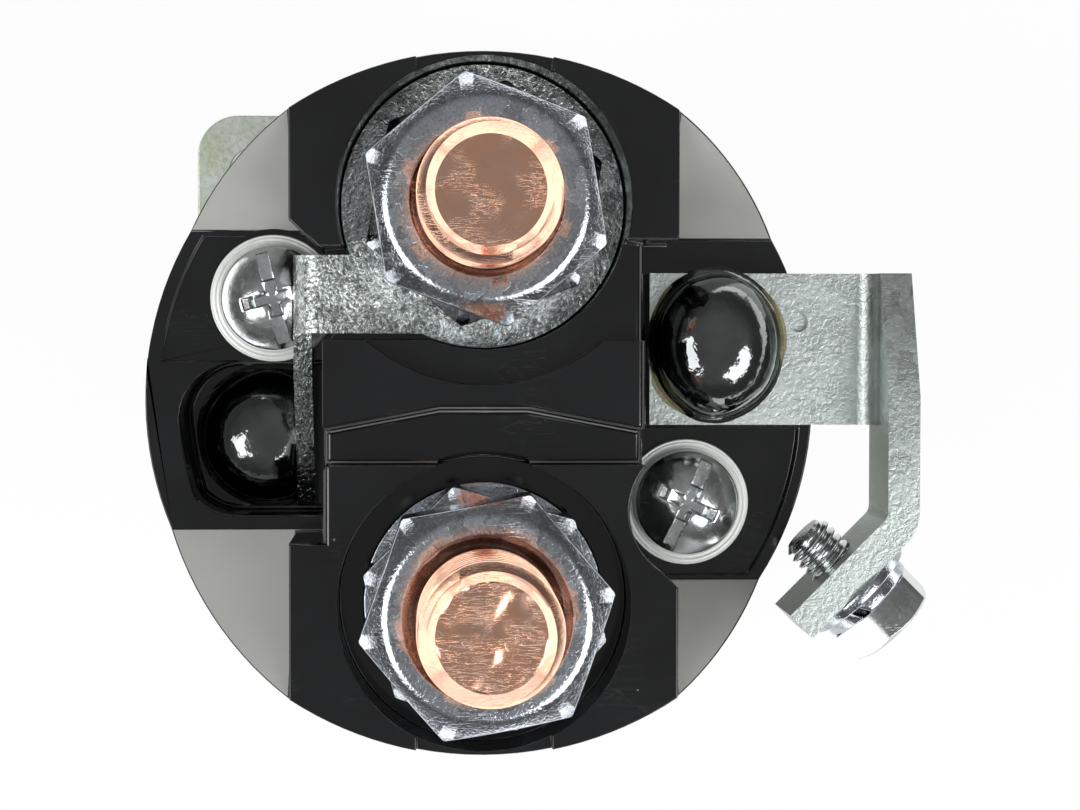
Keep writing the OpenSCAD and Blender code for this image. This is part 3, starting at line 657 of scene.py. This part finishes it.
SETTINGS = {
    "relay_studs": StudSettings,
    "relay_nuts": NutSettings,
    "relay_screws": ScrewSettings,
    "relay_solder": SolderSettings,
    "relay_cap": CapSettings,
    "relay_springs": SpringSettings,
    "relay_finishes": FinishSettings,
    "relay_stage": StageSettings,
}


# ---- Operators


class RELAY_OT_finishes(bpy.types.Operator):
    """Makes the finishes and gives each carried-over node its own"""

    bl_idname = "relay.finishes"
    bl_label = "Finishes"

    def execute(self, context):
        s = context.scene.relay_finishes
        for group in (grain_group, crystal_group, scuff_group, speck_group):
            group()
        low, high = half_box("cap_screw_washers", 1)
        MATERIALS.update(
            nut=zinc("nut_zinc", s.nut_zinc, 0.2, 0.022, 1.6, 0.006, (0.06, 0.14)),
            plate=zinc("plate_zinc", s.plate_zinc, 0.33, 0.11, 0.9, 0.05, (0.12, 0.24), 0.4),
            bracket=zinc("bracket_zinc", s.bracket_zinc, 0.4, 0.05, 1.4, 0.015, (0.34, 0.46), 0.75),
            screw=zinc("screw_zinc", s.bright_zinc, 0.4, 0.01, 1.5, 0.004, (0.10, 0.22), 0.75),
            washer=turned_zinc("washer_zinc", s.washer_zinc, (low + high) / 2),
            copper=copper("stud_copper", s.copper, s.worn_copper, (0.12, 0.26)),
            phenolic=phenolic("cap_phenolic", s.phenolic, s.ramp_painted_reflection),
            solder=plain("joint_solder", s.solder, 1.0, (0.05, 0.14), 2.6, 0.16, 0.3),
            flux=plain("dried_flux", s.flux, 0.0, (0.12, 0.3), 1.5, 0.05, 0.4, Alpha=0.55),
            flange=yellow_zinc("flange_zinc", s.flange_grey, s.flange_green),
            steel=brushed("bare_steel", (0.56, 0.57, 0.58), (0.25, 0.4), (120, 120, 3000)),
            spring=brushed("spring_steel", (0.48, 0.49, 0.50), (0.2, 0.35), (800, 800, 800)),
            brass=plain("sleeve_brass", (0.75, 0.60, 0.30), 1.0, (0.2, 0.35), 2.0, 0.02),
            rubber=plain("seal_rubber", (0.02, 0.02, 0.02), 0.0, (0.55, 0.75), 0.8, 0.02),
            bobbin=plain("bobbin_nylon", (0.30, 0.26, 0.20), 0.0, (0.35, 0.5), 1.5, 0.02),
            wrap=plain("winding_wrap_cloth", (0.72, 0.66, 0.48), 0.0, (0.6, 0.8), 0.6, 0.08),
            wire=wound("winding_wire", (0.60, 0.22, 0.10), 0.8),
            lead=plain("lead_wire", (0.72, 0.36, 0.22), 1.0, (0.2, 0.35), 1.0, 0.02),
            insulator=plain("insulator_phenolic", (0.30, 0.07, 0.04), 0.0, (0.3, 0.45), 1.2, 0.02),
        )
        kept = {
            "flange": ("mounting_flange", "housing_can"),
            "plate": ("motor_terminal_plate",),
            "bracket": ("switch_terminal_bracket",),
            "nut": ("battery_lock_washer", "switch_spring_washer", "switch_plain_washer"),
            "washer": ("cap_screw_washers",),
            "screw": ("lever_pin", "contact_rod", "rod_collar"),
            "steel": ("stationary_core", "core_plate", "plunger"),
            "spring": ("rod_clip",),
            "brass": ("plunger_sleeve",),
            "rubber": ("cap_gasket", "stud_seals"),
            "bobbin": ("coil_bobbin",),
            "wrap": ("winding_wrap",),
            "wire": ("pull_in_winding", "hold_in_winding"),
            "lead": ("pull_in_lead", "switch_lead"),
            "insulator": ("lower_insulator", "upper_insulator"),
            "copper": ("contact_bridge",),
        }
        for finish, names in kept.items():
            for name in names:
                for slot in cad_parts[name].material_slots:
                    slot.material = MATERIALS[finish]
        return {"FINISHED"}


class RELAY_OT_metal_edges(bpy.types.Operator):
    """Rounds the edges of the carried-over metal parts"""

    bl_idname = "relay.metal_edges"
    bl_label = "Metal edges"

    widths = {
        "mounting_flange": 0.5,
        "housing_can": 0.25,
        "cap_screw_washers": 0.14,
        "battery_lock_washer": 0.2,
        "motor_terminal_plate": 0.5,
        "switch_terminal_bracket": 0.25,
        "switch_spring_washer": 0.12,
        "switch_plain_washer": 0.12,
        "plunger": 0.3,
        "lever_pin": 0.25,
        "contact_bridge": 0.2,
    }

    def execute(self, context):
        for name, width in self.widths.items():
            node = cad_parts[name]
            modify(node, "Weld", "WELD", merge_threshold=WELD)
            modify(node, "Flats", "DECIMATE", decimate_type="DISSOLVE", angle_limit=FLAT)
            bevel(node, width * MM, limit_method="ANGLE", angle_limit=math.radians(35))
            modify(node, "Normals", "WEIGHTED_NORMAL", keep_sharp=False)
        return {"FINISHED"}


class RELAY_OT_cap(bpy.types.Operator):
    """Rounds the moulded edges of the terminal cap"""

    bl_idname = "relay.cap"
    bl_label = "Terminal cap"

    def execute(self, context):
        s = context.scene.relay_cap
        bm = bmesh.new()
        bm.from_mesh(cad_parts["terminal_cap"].data)
        bmesh.ops.remove_doubles(bm, verts=bm.verts, dist=WELD)
        bmesh.ops.dissolve_limit(bm, angle_limit=FLAT, verts=bm.verts, edges=bm.edges)
        surface = BVHTree.FromBMesh(bm)
        self.weigh(bm, s)
        mesh = new_mesh("moulded_cap", bm, "phenolic")
        for label in ("custom_normal", "sharp_face", "sharp_edge"):
            if label in mesh.attributes:
                mesh.attributes.remove(mesh.attributes[label])
        cap = add_object("moulded_cap", mesh)
        bevel(cap, s.edge, limit_method="WEIGHT", use_clamp_overlap=False)
        self.settle(context, cap, surface, s)
        modify(cap, "Normals", "WEIGHTED_NORMAL", keep_sharp=False)
        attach(cap, "housing")
        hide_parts("terminal_cap")
        return {"FINISHED"}

    def weigh(self, bm, s):
        """Gives each edge its rounding, and edges that run on into one another the same."""
        weights = bm.edges.layers.float.new("bevel_weight_edge")
        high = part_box("terminal_cap")[1]
        widths = {
            edge: self.width_at(edge, s, high)
            for edge in bm.edges
            if len(edge.link_faces) == 2 and edge.calc_face_angle(0) > math.radians(22)
        }
        changed = True
        while changed:
            changed = False
            for vert in bm.verts:
                near = [edge for edge in vert.link_edges if edge in widths]
                for a, b in ((a, b) for i, a in enumerate(near) for b in near[i + 1 :]):
                    ways = [(edge.other_vert(vert).co - vert.co).normalized() for edge in (a, b)]
                    if abs(ways[0].dot(ways[1])) > 0.6 and widths[a] != widths[b]:
                        widths[a] = widths[b] = min(widths[a], widths[b])
                        changed = True
        for edge, width in widths.items():
            edge[weights] = width / s.edge

    def settle(self, context, cap, surface, s):
        """Lessens the rounding near any spot where it stands out of the cap or folds over."""
        furthest, near = 0.6 * s.edge, 1.6 * MM
        for _ in range(10):
            holder = cap.evaluated_get(context.evaluated_depsgraph_get())
            shape = holder.to_mesh()
            shape.calc_loop_triangles()
            points = [v.co.copy() for v in shape.vertices]
            stray = [p for p in points if surface.find_nearest(p)[3] > furthest]
            for face in shape.loop_triangles:
                whole = shape.polygons[face.polygon_index]
                if face.area > 1e-9 and face.normal.dot(whole.normal) < 0.2:
                    corners = [points[i] for i in face.vertices]
                    sides = [(a, b) for a in corners for b in corners if a is not b]
                    stray += min(sides, key=lambda side: (side[0] - side[1]).length)
            holder.to_mesh_clear()
            if not stray:
                return
            verts = cap.data.vertices
            for edge, weight in zip(cap.data.edges, cap.data.attributes["bevel_weight_edge"].data):
                spot = (verts[edge.vertices[0]].co + verts[edge.vertices[1]].co) / 2
                if any((spot - p).length < near for p in stray):
                    weight.value *= 0.5
            cap.data.update()

    def width_at(self, edge, s, high):
        """Rounding of one edge: small on thin walls, and less than half of any short step beside it."""
        mid = (edge.verts[0].co + edge.verts[1].co) / 2
        thin_wall, thin_half = 2 * MM, 7 * MM
        if abs(mid.y) > high.y - thin_wall and abs(mid.x) < thin_half:
            return s.thin_edge
        width = s.edge
        along = (edge.verts[1].co - edge.verts[0].co).normalized()
        for face in edge.link_faces:
            for other in face.edges:
                if other is edge or not set(other.verts) & set(edge.verts):
                    continue
                way = other.verts[1].co - other.verts[0].co
                if way.length > 0 and abs(way.normalized().dot(along)) < 0.75:
                    width = min(width, 0.42 * way.length)
        return max(width, 0.04 * MM)


class RELAY_OT_studs(bpy.types.Operator):
    """Turns the two copper studs, with threads that run out in a chamfered tip"""

    bl_idname = "relay.studs"
    bl_label = "Studs"

    def execute(self, context):
        s = context.scene.relay_studs
        angles = even_angles(84)
        for node, nuts, seed, dent in (
            ("battery_stud", "battery_nuts", 3.7, 2.4),
            ("motor_stud", "motor_nuts", 11.3, 0.8),
        ):
            low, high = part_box(node)
            head_r = (high.x - low.x) / 2
            root = s.radius - s.depth
            shoulder = low.z + s.head_height
            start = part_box(nuts)[1].z - 3 * MM  # inside the upper nut
            soft, dent_size = 0.3 * MM, 1.7 * MM
            bm = bmesh.new()
            shank = (
                (head_r - soft, low.z),
                (head_r, low.z + soft),
                (head_r, shoulder - soft),
                (head_r - soft, shoulder),
                (root, shoulder),
                (root, start),
            )
            rings = skin(bm, [ring(r, z, angles) for r, z in shank], ends=False)
            close(bm, rings[0])
            thread(bm, s.radius, s.depth, s.pitch, start, high.z, s.tip_radius, angles)
            rows = []
            for share in (1.0, 0.965, 0.92, 0.84, 0.74, 0.63, 0.52, 0.41, 0.3, 0.2, 0.1):
                row = ring(s.tip_radius * share, high.z, angles)
                if share < 1:
                    for p in row:
                        rough = noise.noise(Vector((p.x, p.y, seed * MM)) / dent_size)
                        p.z += dent * s.dent * min(rough * 0.8 - 0.2 * (1 - share) - 0.1, 0)
                rows.append(row)
            tip = skin(bm, rows, ends=False)
            close(bm, tip[-1])
            piece(node + "_turned", bm, "copper", "copper", node, place=over(low, high), sharp=30)
        return {"FINISHED"}


class RELAY_OT_nuts(bpy.types.Operator):
    """Makes the four chamfered nuts"""

    bl_idname = "relay.nuts"
    bl_label = "Nuts"

    turns = {"motor_nuts": (19.5, 39.6), "battery_nuts": (44.7, 10.6)}

    def execute(self, context):
        s = context.scene.relay_nuts
        for node, turns in self.turns.items():
            low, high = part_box(node)
            stud = middle(node.replace("nuts", "stud"))
            height = (high.z - low.z) / 2
            for i, label in enumerate(("lower", "upper")):
                wide = node == "battery_nuts" and i == 1
                bm = bmesh.new()
                turn = math.radians(turns[i])
                self.nut(bm, s, height, turn, s.wide_mouth if wide else s.mouth)
                at = Matrix.Translation((stud.x, stud.y, low.z + i * height))
                name = f"{node[:-1]}_{label}"
                piece(name, bm, "nut", "zinc_plate", node, place=at, sharp=40, even=True)
        return {"FINISHED"}

    def nut(self, bm, s, height, turn, mouth):
        angles = hexagon_angles(turn)
        hexa = hexagon(s.across, s.corner, turn)
        face = s.across / 2 * s.face_share
        soft = 0.07 * MM

        def under(a, r):
            return max(r - face, 0) * NUT_CHAMFER

        def above(a, r):
            return height - under(a, r)

        rows = [
            ring(s.bore, s.mouth, angles),
            ring(s.bore + s.mouth, 0, angles),
            ring(face, 0, angles),
            ring(lambda a: hexa(a) - soft, under, angles),
            ring(hexa, lambda a, r: under(a, r) + soft, angles),
            ring(hexa, lambda a, r: above(a, r) - soft, angles),
            ring(lambda a: hexa(a) - soft, above, angles),
            ring(face + s.face_edge, above, angles),
            ring(face, height - 0.13 * s.face_edge, angles),
            ring(face - s.face_edge, height, angles),
            ring(s.bore + mouth + soft, height, angles),
            ring(s.bore + mouth - soft, height - soft, angles),
            ring(s.bore, height - mouth, angles),
        ]
        skin(bm, rows, loop=True)


class RELAY_OT_screws(bpy.types.Operator):
    """Makes the two cap screws with their cross recesses, and the switch screw"""

    bl_idname = "relay.screws"
    bl_label = "Screws"

    def execute(self, context):
        s = context.scene.relay_screws
        bottom, top = (corner.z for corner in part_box("cap_screws"))
        for label, side, turn in (("right", 1, 65), ("left", -1, 104)):
            low, high = half_box("cap_screw_washers", side)
            bm = bmesh.new()
            self.cap_screw(bm, s, bottom, high.z, top, math.radians(turn))
            self.add_screw("cap_screw_" + label, bm, "cap_screws", over(low, high))
        self.switch_screw(s)
        return {"FINISHED"}

    def add_screw(self, name, bm, node, place):
        piece(name, bm, "screw", "zinc_plate", node, place=place, sharp=32, even=True)

    def cap_screw(self, bm, s, bottom, seat, top, turn):
        """A pan head with a slot right across it and a shorter cross recess in its middle."""
        steps = [1.5 * i for i in range(-16, 17)] + [28, 32, 36.5, 41, 45, 49, 53.5, 58, 62]
        angles = [turn + math.radians(90 * q + a) for q in range(4) for a in steps]
        rise = (top - seat) * 0.6
        edge = top - rise
        curve = (s.head_radius**2 + rise**2) / 2 / rise
        slot_floor = top - s.slot_depth
        soft = 0.07 * MM

        def dome(a, r):
            return top - curve + math.sqrt(curve**2 - r**2)

        def in_slot(a):
            return abs(math.cos(a - turn)) > math.sqrt(0.5)

        def outline(slot, arm, width, core):
            def radius(a):
                off = (a - turn + math.pi / 4) % (math.pi / 2) - math.pi / 4
                r = (slot if in_slot(a) else arm) / math.cos(off)
                if abs(math.sin(off)) > 1e-6:
                    r = min(r, width / 2 / abs(math.sin(off)))
                return max(r, core)

            return radius

        def sunk(slot_z, arm_z):
            return lambda a, r: slot_z if in_slot(a) else arm_z

        mouth = outline(s.slot_reach, s.arm, s.arm_width, s.core)
        rows = [
            ring(s.shank_radius, bottom, angles),
            ring(s.shank_radius, seat, angles),
            ring(s.head_radius - 2 * soft, seat, angles),
            ring(s.head_radius, seat + 2 * soft, angles),
            ring(s.head_radius, edge - soft, angles),
        ]
        for share in (0.03, 0.1, 0.2, 0.32, 0.46, 0.6, 0.74, 0.87, 0.96):
            rows.append(ring(lambda a, k=share: (1 - k) * s.head_radius + k * mouth(a), dome, angles))
        rows.append(ring(lambda a: mouth(a) + soft / 3, lambda a, r: dome(a, r) - soft / 4, angles))
        for slot, arm, width, core, slot_z, arm_z in (
            (0.98, 0.97, 0.93, 0.97, slot_floor, top - 0.8 * MM),
            (0.42, 0.8, 0.92, 0.94, slot_floor - 0.02 * MM, top - 0.95 * MM),
            (0.38, 0.62, 0.8, 0.8, slot_floor - 0.5 * MM, slot_floor - 0.5 * MM),
            (0.28, 0.45, 0.6, 0.6, top - s.recess_depth, top - s.recess_depth),
        ):
            inner = outline(s.slot_reach * slot, s.arm * arm, s.arm_width * width, s.core * core)
            rows.append(ring(inner, sunk(slot_z, arm_z), angles))
        rings = skin(bm, rows, ends=False)
        close(bm, rings[0])
        close(bm, rings[-1])

    def switch_screw(self, s):
        """A hex-head screw through the bracket's leg, with two washers under its head."""
        axis = Vector((1, -1, 0)).normalized()
        leg, washers, plain_washer = 2.4 * MM, 1.8 * MM, 0.8 * MM
        outer = middle("switch_plain_washer") - axis * plain_washer / 2
        seat = outer + axis * washers
        depth = 0.42 * MM
        root, tip_r = s.shank_radius - depth, s.shank_radius - 0.55 * MM
        angles = even_angles(96, math.radians(-12))
        hexa = hexagon(s.switch_across, 0.2 * MM, math.radians(-12))
        face = s.switch_across / 2 * 0.94
        soft = 0.06 * MM
        length_in = washers + leg
        start = length_in - 1.0 * MM
        tip = length_in + s.switch_out

        def crown(a, r):
            return -s.switch_head + max(r - face, 0) * NUT_CHAMFER

        bm = bmesh.new()
        rows = [
            ring(face - soft, -s.switch_head, angles),
            ring(face + soft, crown, angles),
            ring(lambda a: hexa(a) - soft, crown, angles),
            ring(hexa, lambda a, r: crown(a, r) + soft, angles),
            ring(hexa, -soft, angles),
            ring(lambda a: hexa(a) - soft, 0, angles),
            ring(root, 0, angles),
            ring(root, start, angles),
        ]
        rings = skin(bm, rows, ends=False)
        close(bm, rings[0])
        thread(bm, s.shank_radius, depth, s.switch_pitch, start, tip, tip_r, angles)
        end = skin(bm, [ring(tip_r * k, tip, angles) for k in (1.0, 0.6, 0.3)], ends=False)
        close(bm, end[-1])
        down = -axis
        across = Vector((0, 0, -1))
        turn = Matrix((across, down.cross(across), down)).transposed().to_4x4()
        self.add_screw("switch_screw_threaded", bm, "switch_screw", Matrix.Translation(seat) @ turn)


class RELAY_OT_solder(bpy.types.Operator):
    """Makes the two solder joints and the flux round one of them"""

    bl_idname = "relay.solder"
    bl_label = "Solder"

    # Heights of a dome's rings as shares of its own, closer at the foot and at the crown
    lifts = (-0.02, 0.03, 0.08, 0.16, 0.26, 0.38, 0.5, 0.62, 0.73, 0.83, 0.9, 0.95, 0.975)
    lifts += (0.99, 0.997, 0.9995)

    def execute(self, context):
        s = context.scene.relay_solder
        self.switch_joint(s)
        self.motor_joint(s)
        return {"FINISHED"}

    def uneven(self, p, seed, amount):
        lump = 3.2 * MM
        spot = p / lump + Vector((seed, 0, 0))
        return 1 + amount * (noise.noise(spot) + 0.4 * noise.noise(spot * 2.7))

    def dome(self, bm, s, low, high, seed, limit=None):
        """A dome in a box, with a wetted foot, cut straight where limit(angle) is less."""
        half, centre = (high - low) / 2, (low + high) / 2
        height = high.z - low.z
        angles = even_angles(72)
        rows = []
        for lift in self.lifts:
            row = []
            fat = max(1 - max(lift, 0) ** s.fullness, 0) ** (1 / s.fullness)
            foot = s.foot * max(1 - lift / 0.16, 0) ** 2
            for a in angles:
                radius = 1 / math.hypot(math.cos(a) / half.x, math.sin(a) / half.y)
                p = Vector((math.cos(a), math.sin(a), 0)) * (radius * fat)
                p.z = max(lift, 0) * height
                r = p.xy.length * self.uneven(p, seed, s.ripple) + foot
                z = low.z + p.z * (1 + 0.5 * (self.uneven(p, seed + 5, s.ripple) - 1))
                if limit is not None:
                    r = min(r, limit(a))
                row.append(Vector((centre.x + r * math.cos(a), centre.y + r * math.sin(a), z)))
            rows.append(row)
        skin(bm, rows)

    def switch_joint(self, s):
        low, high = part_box("switch_solder_joint")
        plate_low, plate_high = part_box("switch_terminal_bracket")
        bm = bmesh.new()
        self.dome(bm, s, low, high, 1.3)
        piece("switch_solder_dome", bm, "solder", "solder", "switch_solder_joint")
        centre = (low + high) / 2
        reach = (high.x - low.x) / 2
        # The flux stays this far inside the plate's edges
        margin = 0.15 * MM
        left, back, front = plate_low.x + margin, plate_high.y - margin, -1.8 * MM + margin
        bm = bmesh.new()
        angles = even_angles(96)

        def edge(a):
            r = reach + s.flux * (1 + 0.6 * noise.noise(Vector((math.cos(a), math.sin(a), 0.3)) * 1.7))
            way = Vector((math.cos(a), math.sin(a)))
            for reachable, part in (
                (centre.x - left if way.x < 0 else 1, abs(way.x)),
                (back - centre.y if way.y > 0 else centre.y - front, abs(way.y)),
            ):
                if part > 1e-6:
                    r = min(r, reachable / part)
            return r

        rows = [
            ring(edge, low.z - 0.02 * MM, angles),
            ring(lambda a: edge(a) - 0.1 * MM, low.z + 0.06 * MM, angles),
            ring(lambda a: edge(a) - 0.4 * MM, low.z + 0.12 * MM, angles),
            ring(reach * 0.7, low.z + 0.14 * MM, angles),
        ]
        skin(bm, rows)
        piece("switch_joint_flux", bm, "flux", "solder", place=over(low, high))

    def motor_joint(self, s):
        low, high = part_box("motor_solder_joint")
        right = high.x
        reach = (high.y - low.y) / 2
        centre = Vector((low.x + reach, (low.y + high.y) / 2, 0))
        wide = Vector((low.x, low.y, low.z)), Vector((low.x + 2 * reach, high.y, high.z))

        def limit(a):
            return (right - centre.x) / math.cos(a) if math.cos(a) > 0.05 else 1

        bm = bmesh.new()
        self.dome(bm, s, *wide, 7.9, limit)
        piece("motor_solder_dome", bm, "solder", "solder", "motor_solder_joint")


class RELAY_OT_springs(bpy.types.Operator):
    """Winds the three springs, and gives two of them meshes of their own"""

    bl_idname = "relay.springs"
    bl_label = "Springs"

    def execute(self, context):
        s = context.scene.relay_springs
        plunger = self.spring(s, "plunger_return_spring", s.plunger_wire, 7, "plunger")
        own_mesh(plunger)
        self.spring(s, "contact_spring", s.contact_wire, 4, "contact")
        rod = self.spring(s, "contact_return_spring", s.rod_wire, 4, "contact")
        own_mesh(rod)
        return {"FINISHED"}

    def spring(self, s, node, wire, turns, body):
        low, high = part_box(node)
        radius = high.x - wire
        count = turns * s.steps
        climb = (high.z - low.z - 2 * wire) / count
        rows = []
        for i in range(count + 1):
            a = 2 * math.pi * i / s.steps
            out = Vector((math.cos(a), math.sin(a), 0))
            centre = out * radius + UP * (low.z + wire + climb * i)
            sides = [(wire * math.cos(b), wire * math.sin(b)) for b in even_angles(s.sides)]
            rows.append([centre + out * x + UP * z for x, z in sides])
        bm = bmesh.new()
        skin(bm, rows)
        return piece(node + "_wound", bm, "spring", "spring_steel", node, body=body)


class RELAY_OT_stage(bpy.types.Operator):
    """Sets the camera, the lamps, the world and the floor"""

    bl_idname = "relay.stage"
    bl_label = "Stage"

    lamps = (
        # name, azimuth, elevation, distance, width, height, radiance
        ("key_right", -34, 56, 0.5, 0.28, 0.22, 5.5),
        ("key_left", -162, 56, 0.5, 0.28, 0.22, 5.5),
        ("rim_front", -90, 6, 0.3, 0.55, 0.1, 1.3),
        ("rim_back", 90, 6, 0.3, 0.55, 0.1, 1.3),
        ("rim_left", 180, 6, 0.3, 0.55, 0.1, 1.3),
        ("rim_right", 0, 6, 0.3, 0.55, 0.1, 1.3),
    )

    def execute(self, context):
        s = context.scene.relay_stage
        scene = context.scene
        scene.view_settings.view_transform = "Standard"
        self.camera(scene, s)
        self.world(scene, s)
        for settings in self.lamps:
            self.lamp(*settings)
        self.floor()
        return {"FINISHED"}

    def camera(self, scene, s):
        data = bpy.data.cameras.new("Camera")
        data.lens = s.focal
        data.sensor_width = SENSOR_WIDTH
        data.clip_start = 0.01
        camera = add_object("Camera", data)
        # The object's axis meets the picture 120 px left of its middle and 75 px above it
        pixels = s.focal / SENSOR_WIDTH * PICTURE_WIDTH
        ahead = Vector((120 / pixels, -75 / pixels, -1)).normalized()
        right = (Vector((1, 0, 0)) - ahead * ahead.x).normalized()
        up = right.cross(ahead)
        turn = Matrix((right, up, -ahead)).transposed().to_4x4()
        camera.matrix_world = Matrix.Translation((s.offset_x, s.offset_y, s.height)) @ turn
        scene.camera = camera

    def world(self, scene, s):
        world = bpy.data.worlds.new("Studio")
        scene.world = world
        world.use_nodes = True
        t = Tree(world.node_tree)
        t.nodes.clear()
        rays = t.add("LightPath").outputs
        height = t.add("SeparateXYZ", {0: t.add("TexCoord").outputs["Generated"]}).outputs[2]
        edge = t.span(height, 0.1, 0.35, 1.0, s.halfway)
        mirrored = t.plus(edge, t.span(height, 0.6, 0.95, 0.0, s.zenith))
        level = t.times(rays["Is Diffuse Ray"], s.ambient)
        level = t.plus(level, t.times(rays["Is Glossy Ray"], mirrored))
        level = t.plus(level, rays["Is Camera Ray"])
        level = t.math("MAXIMUM", level, rays["Is Transmission Ray"])
        back = t.add("Background", {"Color": (1, 1, 1, 1), "Strength": level})
        out = t.add("OutputWorld")
        t.put(back.outputs[0], out.inputs[0])

    def lamp(self, name, azimuth, elevation, distance, width, height, radiance):
        data = bpy.data.lights.new(name, "AREA")
        data.shape = "RECTANGLE"
        data.size, data.size_y = width, height
        data.energy = radiance * math.pi * width * height
        lamp = add_object(name, data)
        a, e = math.radians(azimuth), math.radians(elevation)
        way = Vector((math.cos(a) * math.cos(e), math.sin(a) * math.cos(e), math.sin(e)))
        target = Vector((0, 0, 0.06))
        turn = way.to_track_quat("Z", "Y").to_matrix().to_4x4()
        lamp.matrix_world = Matrix.Translation(target + way * distance) @ turn
        lamp.visible_camera = False

    def floor(self):
        reach, gap = 3.0, 0.1 * MM
        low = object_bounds()[0]
        bm = bmesh.new()
        bmesh.ops.create_grid(bm, x_segments=8, y_segments=8, size=reach)
        mesh = bpy.data.meshes.new("floor")
        bm.to_mesh(mesh)
        bm.free()
        floor = add_object("floor", mesh)
        floor.location = (0, 0, low[2] - gap)
        made = bpy.data.materials.new("floor_paper")
        made.use_nodes = True
        t = Tree(made.node_tree)
        t.nodes.clear()
        rays = t.add("LightPath").outputs
        paper = t.add("BsdfDiffuse", {"Color": (0.86, 0.86, 0.86, 1)})
        glow = t.add("Emission", {"Color": (1, 1, 1, 1), "Strength": 1.0})
        seen = t.math("MAXIMUM", rays["Is Camera Ray"], rays["Is Glossy Ray"])
        shares = {0: t.times(seen, 0.9), 1: paper.outputs[0], 2: glow.outputs[0]}
        mixed = t.add("MixShader", shares)
        t.put(mixed.outputs[0], t.add("OutputMaterial").inputs[0])
        mesh.materials.append(made)
        floor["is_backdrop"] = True


OPERATORS = (
    RELAY_OT_stage,
    RELAY_OT_finishes,
    RELAY_OT_metal_edges,
    RELAY_OT_cap,
    RELAY_OT_studs,
    RELAY_OT_nuts,
    RELAY_OT_screws,
    RELAY_OT_solder,
    RELAY_OT_springs,
)


class RELAY_PT_sidebar(bpy.types.Panel):
    """Lists the relay's operators with their settings"""

    bl_label = "Starter Solenoid Relay"
    bl_idname = "RELAY_PT_sidebar"
    bl_space_type = "VIEW_3D"
    bl_region_type = "UI"
    bl_category = "Relay"

    def draw(self, context):
        for operator in OPERATORS:
            self.layout.operator(operator.bl_idname)
        for name in SETTINGS:
            box = self.layout.box()
            settings = getattr(context.scene, name)
            box.label(text=settings.__doc__)
            for prop in settings.__annotations__:
                box.prop(settings, prop)


CLASSES = (*SETTINGS.values(), *OPERATORS, RELAY_PT_sidebar)


def register():
    for cls in CLASSES:
        bpy.utils.register_class(cls)
    for name, cls in SETTINGS.items():
        setattr(bpy.types.Scene, name, PointerProperty(type=cls))


def unregister():
    for name in SETTINGS:
        delattr(bpy.types.Scene, name)
    for cls in reversed(CLASSES):
        bpy.utils.unregister_class(cls)


def main():
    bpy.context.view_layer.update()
    register()
    for operator in OPERATORS:
        getattr(bpy.ops.relay, operator.bl_idname.split(".")[1])()


if __name__ == "__main__":
    main()
